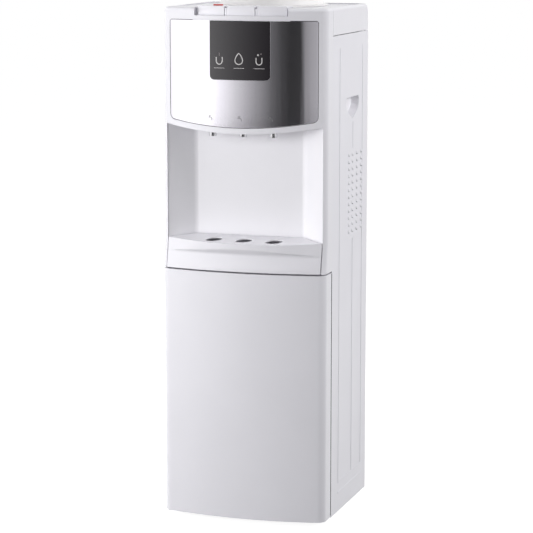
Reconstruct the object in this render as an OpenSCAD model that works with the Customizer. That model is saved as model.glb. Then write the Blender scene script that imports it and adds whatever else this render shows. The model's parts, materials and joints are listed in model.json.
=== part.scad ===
// Floor-standing water dispenser: bottle seat on top, three taps over a drip tray, cupboard below.
// Millimetres, +Z up, +Y to the rear. The origin is on the floor, under the middle of the housing.

/* [Cabinet] */
// Overall width
body_w = 310; // [300:1:330]
// Overall depth, from the front of the bow to the rear edges
body_d = 300; // [285:1:320]
// Height of the feet
foot_h = 8; // [7:1:20]
// Diameter of the feet
foot_d = 34; // [24:1:44]
// Thickness of the steel sheets
sheet_t = 1; // [0.8:0.1:1.4]
// Thickness of the moulded walls
wall = 3; // [2.6:0.1:3.4]
// Height of the ribs and louvres pressed out of the side panels
press_h = 0.5; // [0.4:0.1:1.2]
// Depth of the front assembly: head, alcove, tray and door
front_d = 65; // [64:1:72]
// Rounding of the top edges
edge_r = 6; // [3:0.5:8]
// Rounding of the top cover's rear edge
rear_r = 18; // [10:1:24]

/* [Heights] */
// Height of the door
door_h = 457; // [440:1:500]
// Gap above the door and under it
door_gap = 2.5; // [2.2:0.1:3.5]
// Gap between the door's rear edge and the side panels
joint_gap = 5; // [2.2:0.1:6]
// Height of the drip tray's front at its middle
tray_h = 51; // [47:1:58]
// Height of the alcove, from the tray's front edge to the lip
alcove_h = 199.5; // [180:0.5:230]
// Height of the head, from the lip's middle to the top
head_h = 224; // [216:1:245]
// Depth of the top cover's skirt
cover_h = 49.5; // [44:0.5:60]
// Height of the bottle seat above the top's rim
seat_h = 16; // [12:0.5:20]

/* [Front] */
// Radius of the head's bow in plan
head_bow_r = 408; // [380:1:460]
// Radius of the door's bow in plan
door_bow_r = 611; // [560:1:700]
// Rounding of the head's upright corners
head_corner_r = 14; // [9:1:16]
// Rounding of the door's upright corners
door_corner_r = 17; // [11:1:19]
// Drop of the lip from its ends to its middle
lip_drop = 13.5; // [8:0.5:18]
// Width of the flanges beside the alcove
flange_w = 7; // [6:0.5:9]
// Depth of the alcove at its middle
alcove_d = 60.5; // [57:0.5:61]
// Width of the alcove's back wall
alcove_back_w = 208; // [190:1:216]
// Rounding of the alcove's upright inner corners
alcove_corner_r = 18; // [10:1:24]

/* [Face] */
// Half the width of the face panel
face_half_w = 139.5; // [134:0.5:141]
// Distance of the face panel's upper edge from the top
face_top = 22.5; // [20:0.5:26]
// Distance of the face panel's lower edge above the lip
face_rise = 11; // [8:0.5:14]
// Thickness of the face panel
face_t = 1; // [0.8:0.1:1.2]
// Gap round the face panel
face_gap = 1; // [0.6:0.1:1.4]
// Half the width of the indicator panel
indicator_half_w = 56.5; // [50:0.5:60]
// Height of the indicator panel
indicator_h = 105; // [95:1:112]
// Thickness of the indicator panel
indicator_t = 1.8; // [1.5:0.1:2]

/* [Taps] */
// Distance between the taps
tap_pitch = 57.5; // [56:0.5:62]
// Distance of the taps behind the front of the bow
tap_back = 22; // [20:0.5:26]
// Radius of a tap's body
tap_r = 11; // [10:0.5:12]
// Radius of a spout
spout_r = 5.4; // [4.8:0.1:6]
// Thickness of the bright sleeve on a spout
sleeve_t = 1.2; // [0.8:0.1:1.6]
// Distance of the spouts' ends below the lip
spout_drop = 6.5; // [3:0.5:10]
// Radius of a push rod
rod_r = 2.5; // [2:0.1:3]
// Wire radius of the return springs
spring_wire_r = 0.6; // [0.4:0.1:0.8]

/* [Buttons] */
// Width of a button
button_w = 52.5; // [48:0.5:54]
// Height of the buttons above the top
button_rise = 3; // [1:0.5:5]
// Distance of the buttons' fronts behind the head's front
button_inset = 8; // [6:0.5:9]
// Depth of the notch below the top
notch_h = 14; // [12:0.5:17]
// Distance of the button shaft behind the front of the bow
shaft_back = 58; // [56:0.5:60]
// Radius of the button shaft
shaft_r = 2; // [1.6:0.1:2.4]
// Length of the child lock
lock_w = 16; // [10:1:20]

/* [Tray] */
// Slope of the tray's top, down to the front, in degrees
tray_slope = 8.5; // [5:0.5:10]
// Depth of the finger scoop in the tray's front
scoop_depth = 6; // [3:0.5:6]
// Thickness of the drip grille
grille_t = 2.4; // [2:0.1:3]
// Length of a leaf-shaped drain hole
leaf_len = 34; // [24:1:36]
// Width of a leaf-shaped drain hole
leaf_w = 23; // [14:1:26]

/* [Cupboard] */
// Width of the cupboard's inside
liner_w = 266; // [240:1:270]
// Thickness of the cupboard's walls
box_t = 2; // [1.6:0.1:3]
// Space between the cupboard's upper part and the rear panel
liner_gap = 50.6; // [48:0.2:80]
// Space between the cupboard's lower part and the compressor
step_gap = 15.6; // [10:0.2:24]
// Height of the step over the compressor
step_z = 214; // [205:1:260]
// Distance of the hinge pins from the door's left face
pin_in = 10; // [10:0.5:14]
// Distance of the hinge pins in front of the door's back
pin_ahead = 27.5; // [24:0.5:30]
// Radius of the hinge pins
pin_r = 3; // [2.5:0.1:3.5]

/* [Side panels] */
// Width of a hand grip
grip_w = 84; // [70:1:90]
// Height of a hand grip
grip_h = 40; // [34:1:46]
// Depth of a hand grip
grip_d = 13; // [9:0.5:16]
// Distance of the hand grips' upper edge from the top
grip_top = 168; // [150:1:190]
// Rows of louvres
louvre_rows = 12; // [6:1:12]
// Distance between the rows of louvres
louvre_pitch = 13; // [11:0.5:14]

/* [Bottle seat] */
// Distance of the seat's flange from the rear
seat_gap = 7; // [5:0.5:12]
// Width of the flange outside the seat's upright ring
seat_step = 10.5; // [6:0.5:14]
// Thickness of the seat's upright ring
seat_ring_t = 10.5; // [9:0.5:14]
// Inner radius of the seat's neck
neck_r = 31; // [29:0.5:34]
// Radius of the feed spike
spike_r = 8; // [7:0.5:10]

/* [Tanks] */
// Space between the cold tank's insulation and the hoses before it
cold_gap = 12; // [10:1:24]
// Space between the cold tank's insulation and the rear panel
rear_gap = 2; // [1.5:0.5:8]
// Height of the cold tank
cold_h = 176; // [150:1:190]
// Thickness of the cold tank's insulation round the coil
insulation_t = 14; // [10:1:15]
// Radius of the evaporator tube
coil_r = 3; // [2.5:0.1:3.2]
// Turns of the evaporator coil
coil_turns = 7; // [4:1:9]
// Space between the hot tank's jacket and the hoses before and behind it
hot_gap = 22; // [18:1:34]
// Height of the hot tank's straight wall
hot_h = 120; // [90:1:125]
// Thickness of the hot tank's jacket
jacket_t = 14; // [8:1:15]
// Outer radius of the hoses
hose_r = 5; // [4:0.5:5.5]

/* [Cooling] */
// Radius of the compressor's shell
comp_r = 50; // [44:1:51]
// Height of the compressor's shell
comp_h = 148; // [120:1:155]
// Radius of the condenser tube
cond_r = 2.4; // [2:0.1:2.8]
// Distance between the condenser's runs
cond_pitch = 31.75; // [28:0.25:33]
// Radius of the condenser's wires
wire_r = 0.8; // [0.6:0.1:1]

/* [Hidden] */
$fn = 64;
over = 1;
fine = 0.3;
bow_n = 28;
corner_n = 7;
hull_n = 32;
front_y = -body_d / 2;
rear_y = body_d / 2;
half_w = body_w / 2;
joint_y = front_y + front_d;
side_front_y = joint_y + door_gap / 2;
door_back_y = side_front_y - joint_gap;
frame_back_y = side_front_y - 2 * fine;
base_z = foot_h;
door_z0 = base_z + door_gap - 0.5;
door_z1 = door_z0 + door_h;
frame_z0 = door_z1 + door_gap;
tray_edge_z = frame_z0 + tray_h;
lip_z = tray_edge_z + alcove_h;
top_z = lip_z + head_h;
cover_z = top_z - cover_h;
bow_y = front_y + head_bow_r;
door_bow_y = front_y + door_bow_r;
side_x = half_w - press_h;
side_top_z = cover_z - 1.2;
rear_panel_y = rear_y - 23;
panel_flange = 8;

mouth_x = half_w - flange_w;
mouth_y = front_y + sag(head_bow_r, mouth_x) + 1.5;
alcove_back_y = front_y + alcove_d;
liner_t = wall - 0.5;
ceiling_z = lip_z + 20;
floor_z = frame_z0 + 0.5;

tap_y = front_y + tap_back;
tap_z0 = ceiling_z + liner_t + fine;
tap_z1 = tap_z0 + 47;
inlet_z = tap_z0 + 27;
inlet_end_y = frame_back_y + 6;
tap_x = [-tap_pitch, 0, tap_pitch];
stop_z = tap_z1 + 25;

shaft_y = front_y + shaft_back;
shaft_z = top_z - 8;
notch_z = top_z - notch_h;
notch_half = tap_pitch + button_w / 2 + 4.3;
notch_back_y = shaft_y - 6;
notch_t = 2.4;
divider_t = tap_pitch - button_w - 1.4;
button_z1 = top_z + button_rise;
button_z0 = notch_z - 7;
button_t = 2;
rod_z1 = button_z0 - 1;

tray_clear = 1.4;
tray_z0 = floor_z + liner_t + fine;
tray_wall = 2.5;
rim_w = 5;

riser_y = joint_y + 19;
cold_front_y = riser_y + hose_r + cold_gap;
cold_rear_y = rear_panel_y - rear_gap;
bottle_y = (cold_front_y + cold_rear_y) / 2;
seat_flange_r = rear_y - seat_gap - bottle_y;
seat_r = seat_flange_r - seat_step;
seat_mouth_r = seat_r - seat_ring_t;
recess_z = top_z - 2;
seat_z = recess_z + fine;
seat_top_z = top_z + seat_h;
seat_hole_r = seat_r - 2.5;
cold_z1 = top_z - 64;
cold_z0 = cold_z1 - cold_h;
insulation_r = (cold_rear_y - cold_front_y) / 2;
baffle_z = cold_z0 + cold_h * 6 / 11;
sleeve_in_r = insulation_r - insulation_t;
coil_path_r = sleeve_in_r - coil_r - 1;
cold_r = coil_path_r - coil_r - 0.9;
insulation_z0 = cold_z0 - 22;
shelf_h = 14;
upper_shelf_z = insulation_z0 - fine;
lower_shelf_z = door_z1 + 0.4;

drain_y = rear_panel_y - 20;
hot_x = -half_w + 110;
hot_y = (riser_y + drain_y) / 2;
jacket_r = (drain_y - riser_y) / 2 - hose_r - hot_gap;
hot_r = jacket_r - jacket_t - 0.4;
hot_z0 = lower_shelf_z + 28;
hot_z1 = hot_z0 + hot_h;
dome_h = 12;
stub_z = hot_z0 - dome_h / 2;

comp_x = half_w - 110;
comp_line_z = comp_h * 0.62;
comp_y = rear_panel_y - 65;
comp_z0 = base_z + 18;
drier_x = half_w - 30;
drier_y = rear_panel_y - 27;
drier_r = 9.5;
drier_z0 = base_z + 55;
drier_z1 = drier_z0 + 88;
cond_y = rear_panel_y + 10;
cond_z0 = 290;
cond_runs = 17;
cond_x = half_w - 37;
wire_pitch = (cond_x - 6) / 8;
drain_z = 270;
gland_x = -half_w + 55;
switch_z = top_z - 94;
switch_x = [-half_w + 37, -half_w + 73];
coil_down_y = bottle_y + coil_path_r;
stub_reach = (comp_r + 4.2) / sqrt(2);

// Depth of an arc of radius r at the distance x from its middle
function sag(r, x) = r - sqrt(r * r - x * x);
function unit(v) = v / norm(v);

// Plan of a bowed front with rounded corners, clockwise from the rear right corner
function front_outline(bow, corner, inset, back_y) =
    let (
        half = half_w - inset,
        cy = front_y + bow,
        r = bow - inset,
        c = max(corner - inset, 0.5),
        xc = half - c,
        yc = cy - sqrt((r - c) * (r - c) - xc * xc),
        turn = atan2(yc - cy, xc)
    )
    concat(
        [[half, back_y]],
        [for (i = [0:corner_n]) let (a = turn * i / corner_n) [xc + c * cos(a), yc + c * sin(a)]],
        [for (i = [1:bow_n - 1]) let (a = turn - (180 + 2 * turn) * i / bow_n)
            [r * cos(a), cy + r * sin(a)]],
        [for (i = [corner_n:-1:0]) let (a = turn * i / corner_n)
            [-xc - c * cos(a), yc + c * sin(a)]],
        [[-half, back_y]]
    );

// Solid through a stack of outlines, each given as its height and its points
module loft(levels) {
    n = len(levels[0][1]);
    last = len(levels) - 1;
    polyhedron(
        points = [for (level = levels) for (p = level[1]) [p[0], p[1], level[0]]],
        faces = concat(
            [[for (i = [n - 1:-1:0]) i]],
            [for (k = [0:last - 1]) for (i = [0:n - 1])
                let (a = k * n + i, b = k * n + (i + 1) % n) each [[a, b, b + n], [a, b + n, a + n]]],
            [[for (i = [0:n - 1]) last * n + i]]
        )
    );
}

// Extrusions of a profile in X and Z along Y, and of a profile in Y and Z along X
module along_y(y0, y1) {
    translate([0, y1, 0]) rotate([90, 0, 0]) linear_extrude(y1 - y0) children();
}
module along_x(x0, x1) {
    translate([x0, 0, 0]) rotate([90, 0, 90]) linear_extrude(x1 - x0) children();
}
module block(x0, x1, y0, y1, z0, z1) {
    translate([x0, y0, z0]) cube([x1 - x0, y1 - y0, z1 - z0]);
}
module rod_y(x, z, r, y0, y1) {
    translate([x, y1, z]) rotate([90, 0, 0]) cylinder(r = r, h = y1 - y0);
}
module rod_x(y, z, r, x0, x1) {
    translate([x0, y, z]) rotate([0, 90, 0]) cylinder(r = r, h = x1 - x0);
}
module rod_z(x, y, r, z0, z1) {
    translate([x, y, z0]) cylinder(r = r, h = z1 - z0);
}

// Route with its corners rounded by curves that start at the distance r from each
function rounded(p, r, n = 4) =
    concat(
        [p[0]],
        [for (i = [1:len(p) - 2])
            let (a = p[i] + r * unit(p[i - 1] - p[i]), b = p[i] + r * unit(p[i + 1] - p[i]))
            for (k = [0:n]) let (s = k / n)
                (1 - s) * (1 - s) * a + 2 * s * (1 - s) * p[i] + s * s * b],
        [p[len(p) - 1]]
    );
function tangents(p) =
    [for (i = [0:len(p) - 1])
        unit((i < len(p) - 1 ? unit(p[i + 1] - p[i]) : [0, 0, 0])
            + (i > 0 ? unit(p[i] - p[i - 1]) : [0, 0, 0]))];
function carried(t, u, i = 0, found = []) =
    i == len(t) ? found
    : let (v = unit(u - (u * t[i]) * t[i])) carried(t, v, i + 1, concat(found, [v]));

// Round tube or rod along a route
module tube(path, r, sides = 8) {
    t = tangents(path);
    u = carried(t, abs(t[0][2]) < 0.9 ? [0, 0, 1] : [1, 0, 0]);
    rings = len(path);
    polyhedron(
        points = [for (i = [0:rings - 1]) for (k = [0:sides - 1]) let (a = 360 * k / sides)
            path[i] + r * (cos(a) * u[i] + sin(a) * cross(t[i], u[i]))],
        faces = concat(
            [[for (k = [0:sides - 1]) k]],
            [for (i = [0:rings - 2]) for (k = [0:sides - 1])
                let (a = i * sides + k, b = i * sides + (k + 1) % sides)
                each [[a, a + sides, b + sides], [a, b + sides, b]]],
            [[for (k = [sides - 1:-1:0]) (rings - 1) * sides + k]]
        )
    );
}

// Rectangle in X and Z with rounded lower and upper corners and a bowed lower edge
function face_outline(half, z0, z1, drop, low_r, high_r, grow) =
    let (
        h = half + grow,
        edge_radius = drop > 0 ? (half * half + drop * drop) / (2 * drop) : 1e5,
        low_z = z0 + drop - grow,
        lr = low_r + grow,
        hr = high_r + grow,
        n = 6
    )
    concat(
        [for (i = [0:n]) let (a = 180 + 90 * i / n) [-h + lr + lr * cos(a), low_z + lr + lr * sin(a)
            - (drop > 0 ? sag(edge_radius, half) - sag(edge_radius, half - lr - lr * cos(a)) : 0)]],
        [for (i = [1:bow_n - 1]) let (x = -h + lr + 2 * (h - lr) * i / bow_n)
            [x, z0 - grow + sag(edge_radius, x)]],
        [for (i = [n:-1:0]) let (a = 180 + 90 * i / n) [h - lr - lr * cos(a), low_z + lr + lr * sin(a)
            - (drop > 0 ? sag(edge_radius, half) - sag(edge_radius, half - lr - lr * cos(a)) : 0)]],
        [for (i = [0:n]) let (a = 90 * i / n) [h - hr + hr * cos(a), z1 + grow - hr + hr * sin(a)]],
        [for (i = [0:n]) let (a = 90 + 90 * i / n) [-h + hr + hr * cos(a), z1 + grow - hr + hr * sin(a)]]
    );

// Skin on the head's bow between two depths behind its front
module bow_skin(depth0, depth1, z0, z1) {
    intersection() {
        along_y(front_y - over, front_y + front_d - 10) children();
        translate([0, bow_y, z0]) difference() {
            cylinder(r = head_bow_r - depth0, h = z1 - z0, $fn = 256);
            translate([0, 0, -over])
                cylinder(r = head_bow_r - depth1, h = z1 - z0 + 2 * over, $fn = 256);
        }
    }
}

// Plan of the alcove, its walls moved outwards by grow
function alcove_plan(grow) =
    let (
        half = alcove_back_w / 2,
        across = mouth_x - half,
        along = alcove_back_y - mouth_y,
        n = unit([along, across]),
        r = alcove_corner_r,
        xc = half + r * (n[1] - 1) / n[0],
        yc = alcove_back_y - r,
        first = atan2(n[1], n[0]),
        mouth = [mouth_x, mouth_y] + grow * n,
        reach = front_y - 20,
        right = concat(
            [[mouth[0] + (mouth_y - reach) * across / along, reach], mouth],
            [for (i = [0:corner_n]) let (a = first + (90 - first) * i / corner_n)
                [xc + (r + grow) * cos(a), yc + (r + grow) * sin(a)]]
        )
    )
    concat(right, [for (i = [len(right) - 1:-1:0]) [-right[i][0], right[i][1]]]);

face_z0 = lip_z + face_rise;
face_z1 = top_z - face_top;
face_drop = lip_drop - 0.7;
module face_profile(grow) {
    polygon(face_outline(face_half_w, face_z0, face_z1, face_drop, 8, 3, grow));
}
module indicator_profile(grow) {
    z0 = face_z1 - indicator_h;
    polygon(face_outline(indicator_half_w, z0, face_z1, 0, 8, 2, grow));
}
pocket = face_t + 0.4;
indicator_pocket = indicator_t + fine + 0.1;
window_half = indicator_half_w - 10.5;
window_z0 = face_z1 - 92;
window_z1 = face_z1 - 16;
board_y = front_y + 12;
board_half_w = window_half + 8;
post_x = window_half + 4.5;

// White head shell and the two flanges beside the alcove
module front_frame() {
    head_levels = concat(
        [[frame_z0, front_outline(door_bow_r, head_corner_r, 0, frame_back_y)],
         [tray_edge_z, front_outline(head_bow_r, head_corner_r, 0, frame_back_y)]],
        [for (i = [0:4]) let (a = 22.5 * i) [
            top_z - edge_r + edge_r * sin(a),
            front_outline(head_bow_r, head_corner_r, edge_r * (1 - cos(a)), frame_back_y)]]
    );
    color("whitesmoke") {
        difference() {
            loft(head_levels);
            // Inside of the head
            translate([0, 0, ceiling_z]) linear_extrude(top_z - wall - ceiling_z)
                polygon(front_outline(head_bow_r, head_corner_r, wall, frame_back_y + over));
            // Alcove, up to the curved lip
            along_y(front_y - over, frame_back_y + over) polygon(concat(
                [[-mouth_x, frame_z0 - over], [mouth_x, frame_z0 - over]],
                [for (i = [0:bow_n]) let (x = mouth_x * (1 - 2 * i / bow_n))
                    [x, lip_z + lip_drop * x * x / (mouth_x * mouth_x)]]));
            // Room behind the lip
            translate([0, 0, lip_z - over]) linear_extrude(ceiling_z - lip_z + 2 * over)
                intersection() {
                    polygon(front_outline(head_bow_r, head_corner_r, wall, frame_back_y + over));
                    translate([-mouth_x, front_y]) square([2 * mouth_x, body_d]);
                }
            // Pockets of the face panel and the indicator panel, and the window behind the latter
            bow_skin(-5, pocket, lip_z, top_z) face_profile(face_gap);
            bow_skin(-5, indicator_pocket, lip_z, top_z) indicator_profile(0.3);
            block(-window_half, window_half, front_y - over, board_y, window_z0, window_z1);
            // Notch of the buttons
            block(-notch_half, notch_half, front_y - over, notch_back_y, notch_z, top_z + over);
            for (x = [-post_x, post_x]) for (z = [window_z0 + 8, window_z1 - 8])
                rod_y(x, z, 1, board_y - 5, board_y + over);
        }
        // Posts of the indicator board
        for (x = [-post_x, post_x]) for (z = [window_z0 + 8, window_z1 - 8])
            difference() {
                rod_y(x, z, 3, front_y + sag(head_bow_r, x) + wall - 0.5, board_y);
                rod_y(x, z, 1, board_y - 5, board_y + over);
            }
        // Ledge round the buttons and side walls of their notch
        translate([0, 0, notch_z - wall]) linear_extrude(wall) difference() {
            intersection() {
                polygon(front_outline(head_bow_r, head_corner_r, wall - 0.5, frame_back_y));
                translate([-notch_half - notch_t, front_y])
                    square([2 * (notch_half + notch_t), button_back_y - 4 - front_y]);
            }
            for (x = tap_x) polygon(button_plan(x, -0.7));
        }
        translate([0, 0, notch_z - wall]) linear_extrude(top_z + 0.5 - notch_z) intersection() {
            polygon(front_outline(head_bow_r, head_corner_r, wall - 0.5, frame_back_y));
            for (s = [-1, 1]) translate([s * (notch_half + notch_t / 2) - notch_t / 2, front_y])
                square([notch_t, notch_back_y - front_y]);
        }
        // Dividers between the buttons and at their ends
        translate([0, 0, notch_z - wall]) linear_extrude(top_z - 1 - notch_z + wall)
            for (k = [-1.5:1:1.5]) let (end = abs(k) > 1) intersection() {
                polygon(front_outline(head_bow_r, head_corner_r, button_inset + (end ? 4 : 1),
                    frame_back_y));
                translate([k * tap_pitch - divider_t / 2 - (k < -1 ? 0.5 : 0), front_y])
                    square([divider_t + (end ? 0.5 : 0), shaft_y - front_y - 30]);
            }
        // Bearings of the button shaft
        for (s = [-1, 1]) difference() {
            block(s * (notch_half + 4) - 3, s * (notch_half + 4) + 3, shaft_y - 6, shaft_y + 6,
                shaft_z - 6, top_z - wall + 0.5);
            rod_x(shaft_y, shaft_z, shaft_r + 0.1, s * (notch_half + 4) - 3 - over,
                s * (notch_half + 4) + 3 + over);
        }
    }
}

module alcove_liner() {
    top = ceiling_z + liner_t;
    wall_top = lip_z + lip_drop - 3;
    color("white") difference() {
        intersection() {
            union() {
                translate([0, 0, floor_z]) linear_extrude(top - floor_z) difference() {
                    polygon(alcove_plan(liner_t));
                    polygon(alcove_plan(0));
                }
                translate([0, 0, ceiling_z]) linear_extrude(liner_t) polygon(alcove_plan(liner_t));
                translate([0, 0, floor_z]) linear_extrude(liner_t) polygon(alcove_plan(liner_t));
            }
            // The walls end at the flanges, the ceiling and the floor behind the bowed fronts
            union() {
                block(-mouth_x + fine, mouth_x - fine, mouth_y, frame_back_y - 0.1,
                    floor_z - over, wall_top);
                translate([0, 0, wall_top - 0.5]) linear_extrude(top - wall_top + over)
                    intersection() {
                        polygon(front_outline(head_bow_r, head_corner_r, wall + fine, frame_back_y));
                        translate([-mouth_x + fine, front_y]) square([2 * (mouth_x - fine), front_d]);
                    }
                translate([0, 0, floor_z - over]) linear_extrude(liner_t + 2 * over)
                    intersection() {
                        polygon(front_outline(door_bow_r, door_corner_r, rim_w + 5.5, frame_back_y));
                        translate([-mouth_x + fine, front_y]) square([2 * (mouth_x - fine), front_d]);
                    }
            }
        }
        for (x = tap_x) rod_z(x, tap_y, spout_r + sleeve_t + 0.6, ceiling_z - over, top + over);
    }
}

module face_panel() {
    color("silver") difference() {
        bow_skin(0.2, 0.2 + face_t, lip_z, top_z) face_profile(0);
        bow_skin(-over, wall, lip_z, top_z + over) union() {
            indicator_profile(0.3);
            translate([-indicator_half_w - 0.3, face_z1 - 10]) square([2 * indicator_half_w + 0.6, 20]);
        }
    }
}

module indicator_panel() {
    color("#2a2830") bow_skin(fine, fine + indicator_t, lip_z, top_z) indicator_profile(0);
}

// Circuit board with three lamps, on its posts behind the window
module indicator_board() {
    lamp_z = face_z1 - 66;
    color("darkgreen") {
        difference() {
            block(-board_half_w, board_half_w, board_y + 0.1, board_y + 1.7, window_z0 + 2, window_z1 - 2);
            for (x = [-post_x, post_x]) for (z = [window_z0 + 8, window_z1 - 8])
                rod_y(x, z, 1.2, board_y - over, board_y + 3);
        }
        for (x = [-37, 0, 37]) rod_y(x, lamp_z, 2.5, board_y - 5, board_y + 0.6);
        block(16, 40, board_y + 1.5, board_y + 8, window_z0 + 6, window_z0 + 14);
    }
}

// Plan of the button at x, inset by d
button_back_y = notch_back_y - 0.8;
function button_plan(x, d) =
    let (half = button_w / 2 - d, r = head_bow_r - button_inset)
    concat(
        [for (i = [0:12]) let (px = x + (i / 6 - 1) * half)
            [px, bow_y - sqrt(r * r - px * px) + d]],
        [[x + half, button_back_y - d], [x - half, button_back_y - d]]
    );

// Hollow button with its rod pad and the lugs that turn on the shaft
module button(x) {
    half = button_w / 2;
    color("whitesmoke") difference() {
        union() {
            difference() {
                translate([0, 0, button_z0]) linear_extrude(button_z1 - button_z0)
                    polygon(button_plan(x, 0));
                translate([0, 0, button_z0 - over])
                    linear_extrude(button_z1 - button_z0 + over - button_t)
                    polygon(button_plan(x, button_t));
            }
            // Pad over the push rod
            block(x - 4, x + 4, tap_y - 4, tap_y + 4, rod_z1 + 0.6, button_z1 - 0.5);
            for (s = [-1, 1])
                block(x + s * (half - 5) - 1.5, x + s * (half - 5) + 1.5, button_back_y - 6,
                    shaft_y + 4.5, shaft_z - 4.5, shaft_z + 4.2);
        }
        rod_x(shaft_y, shaft_z, shaft_r + 0.1, x - half - over, x + half + over);
    }
}

lock_x = -tap_pitch + 8;
lock_y = front_y + button_inset + 22;
lock_travel = 8;
module hot_button() {
    color("whitesmoke") difference() {
        button(tap_x[0]);
        // Guide slot of the child lock
        block(lock_x - 3, lock_x + 3, lock_y - 4.4, lock_y + 4.4 + lock_travel,
            button_z1 - button_t - over, button_z1 + over);
    }
}
module room_button() { button(tap_x[1]); }
module cold_button() { button(tap_x[2]); }

// Slide with a foot in the hot button's slot
module child_lock() {
    color("red") {
        block(lock_x - lock_w / 2, lock_x + lock_w / 2, lock_y - 4, lock_y + 4,
            button_z1 + 0.1, button_z1 + 2.4);
        block(lock_x - 2.6, lock_x + 2.6, lock_y - 4, lock_y + 4,
            button_z1 - button_t - 1.8, button_z1 + 1);
        block(lock_x - 5, lock_x + 5, lock_y - 4, lock_y + 4,
            button_z1 - button_t - 1.8, button_z1 - button_t - 0.2);
    }
}

module button_shaft() {
    color("silver") rod_x(shaft_y, shaft_z, shaft_r, -notch_half - 6.5, notch_half + 6.5);
}

// Push rod with its spring stop, and the plug that closes the tap's seat from below
module push_rod(x) {
    color("gainsboro") translate([x, tap_y, 0]) rotate_extrude() polygon([
        [0, inlet_z - 13], [6, inlet_z - 13], [6, inlet_z - 10.5], [rod_r, inlet_z - 8.6],
        [rod_r, stop_z], [7, stop_z], [7, stop_z + 2.5], [rod_r, stop_z + 2.5],
        [rod_r, rod_z1], [0, rod_z1]]);
}
module hot_rod() { push_rod(tap_x[0]); }
module room_rod() { push_rod(tap_x[1]); }
module cold_rod() { push_rod(tap_x[2]); }

// Return spring between the tap's cap and the rod's stop
module return_spring(x) {
    turns = 6;
    steps = 8;
    coil = rod_r + spring_wire_r + 0.8;
    low = tap_z1 + spring_wire_r + fine;
    high = stop_z - spring_wire_r - fine;
    color("silver") tube([for (i = [0:turns * steps]) let (a = 360 * i / steps)
        [x + coil * cos(a), tap_y + coil * sin(a), low + (high - low) * i / (turns * steps)]],
        spring_wire_r, 6);
}
module hot_spring() { return_spring(tap_x[0]); }
module room_spring() { return_spring(tap_x[1]); }
module cold_spring() { return_spring(tap_x[2]); }

// Tap: flange on the ceiling, valve chamber, spout and inlet
module tap(x) {
    color("ivory") difference() {
        union() {
            rod_z(x, tap_y, tap_r + 4, tap_z0, tap_z0 + 3.5);
            rod_z(x, tap_y, tap_r, tap_z0, tap_z1);
            rod_z(x, tap_y, spout_r, lip_z - spout_drop + 1, tap_z0 + over);
            rod_y(x, inlet_z, hose_r, tap_y, inlet_end_y);
        }
        // Chambers over and under the seat
        rod_z(x, tap_y, 7.4, inlet_z - 6, tap_z1 - 4);
        rod_z(x, tap_y, rod_r + 1.5, inlet_z - 10, inlet_z - 5);
        rod_z(x, tap_y, 7.4, inlet_z - 19, inlet_z - 9);
        rod_z(x, tap_y, spout_r - 1.6, lip_z - spout_drop, inlet_z - 18);
        rod_z(x, tap_y, rod_r + 0.2, tap_z1 - 5, tap_z1 + over);
        rod_y(x, inlet_z, hose_r - 2, tap_y, inlet_end_y + over);
    }
}
module hot_tap() { tap(tap_x[0]); }
module room_tap() { tap(tap_x[1]); }
module cold_tap() { tap(tap_x[2]); }

// Bright sleeves on the three spouts
module spout_tips() {
    color("silver") for (x = tap_x) translate([x, tap_y, lip_z - spout_drop]) difference() {
        cylinder(r = spout_r + sleeve_t, h = spout_drop + 18);
        translate([0, 0, -over]) cylinder(r = spout_r + 0.05, h = spout_drop + 18 + 2 * over);
    }
}

// Everything above the tray's sloping top, lowered by drop
module above_slope(drop) {
    translate([0, front_y, tray_edge_z - drop]) rotate([tray_slope, 0, 0])
        translate([-body_w, -50, 0]) cube([2 * body_w, body_d, 60]);
}
module tray_plan(inset, front_inset, bow) {
    intersection() {
        polygon(alcove_plan(-tray_clear - inset));
        polygon(front_outline(bow, head_corner_r, front_inset, joint_y));
        translate([-mouth_x + tray_clear + inset, front_y - over])
            square([2 * (mouth_x - tray_clear - inset), front_d]);
    }
}
tray_top_z = tray_edge_z + 14;
scoop_bow_r = head_bow_r * 1.5;
scoop_z = tray_edge_z - 18.5;
// Section of the scoop as depths and heights: a lip that curls under, a hollow, a gentle way out
scoop_section = concat(
    [[-30, scoop_z - 29.4], [-1.2, scoop_z - 28.4], [0.93 * scoop_depth, scoop_z - 4],
     [0.965 * scoop_depth, scoop_z - 2.2], [0.945 * scoop_depth, scoop_z - 0.6],
     [0.865 * scoop_depth, scoop_z + 0.9]],
    [for (t = [0.85, 0.7, 0.55, 0.4, 0.2, 0])
        [scoop_depth * t * t - 0.6 * (1 - t), scoop_z + 13.4 * (1 - t)]],
    [[-30, scoop_z + 14.4]]);
function scoop_plan(depth) = concat(
    [[half_w, front_y - 60], [-half_w, front_y - 60]],
    [for (i = [-12:12]) let (x = half_w * i / 12)
        [x, front_y + depth + sag(scoop_bow_r, x)]]);

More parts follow.
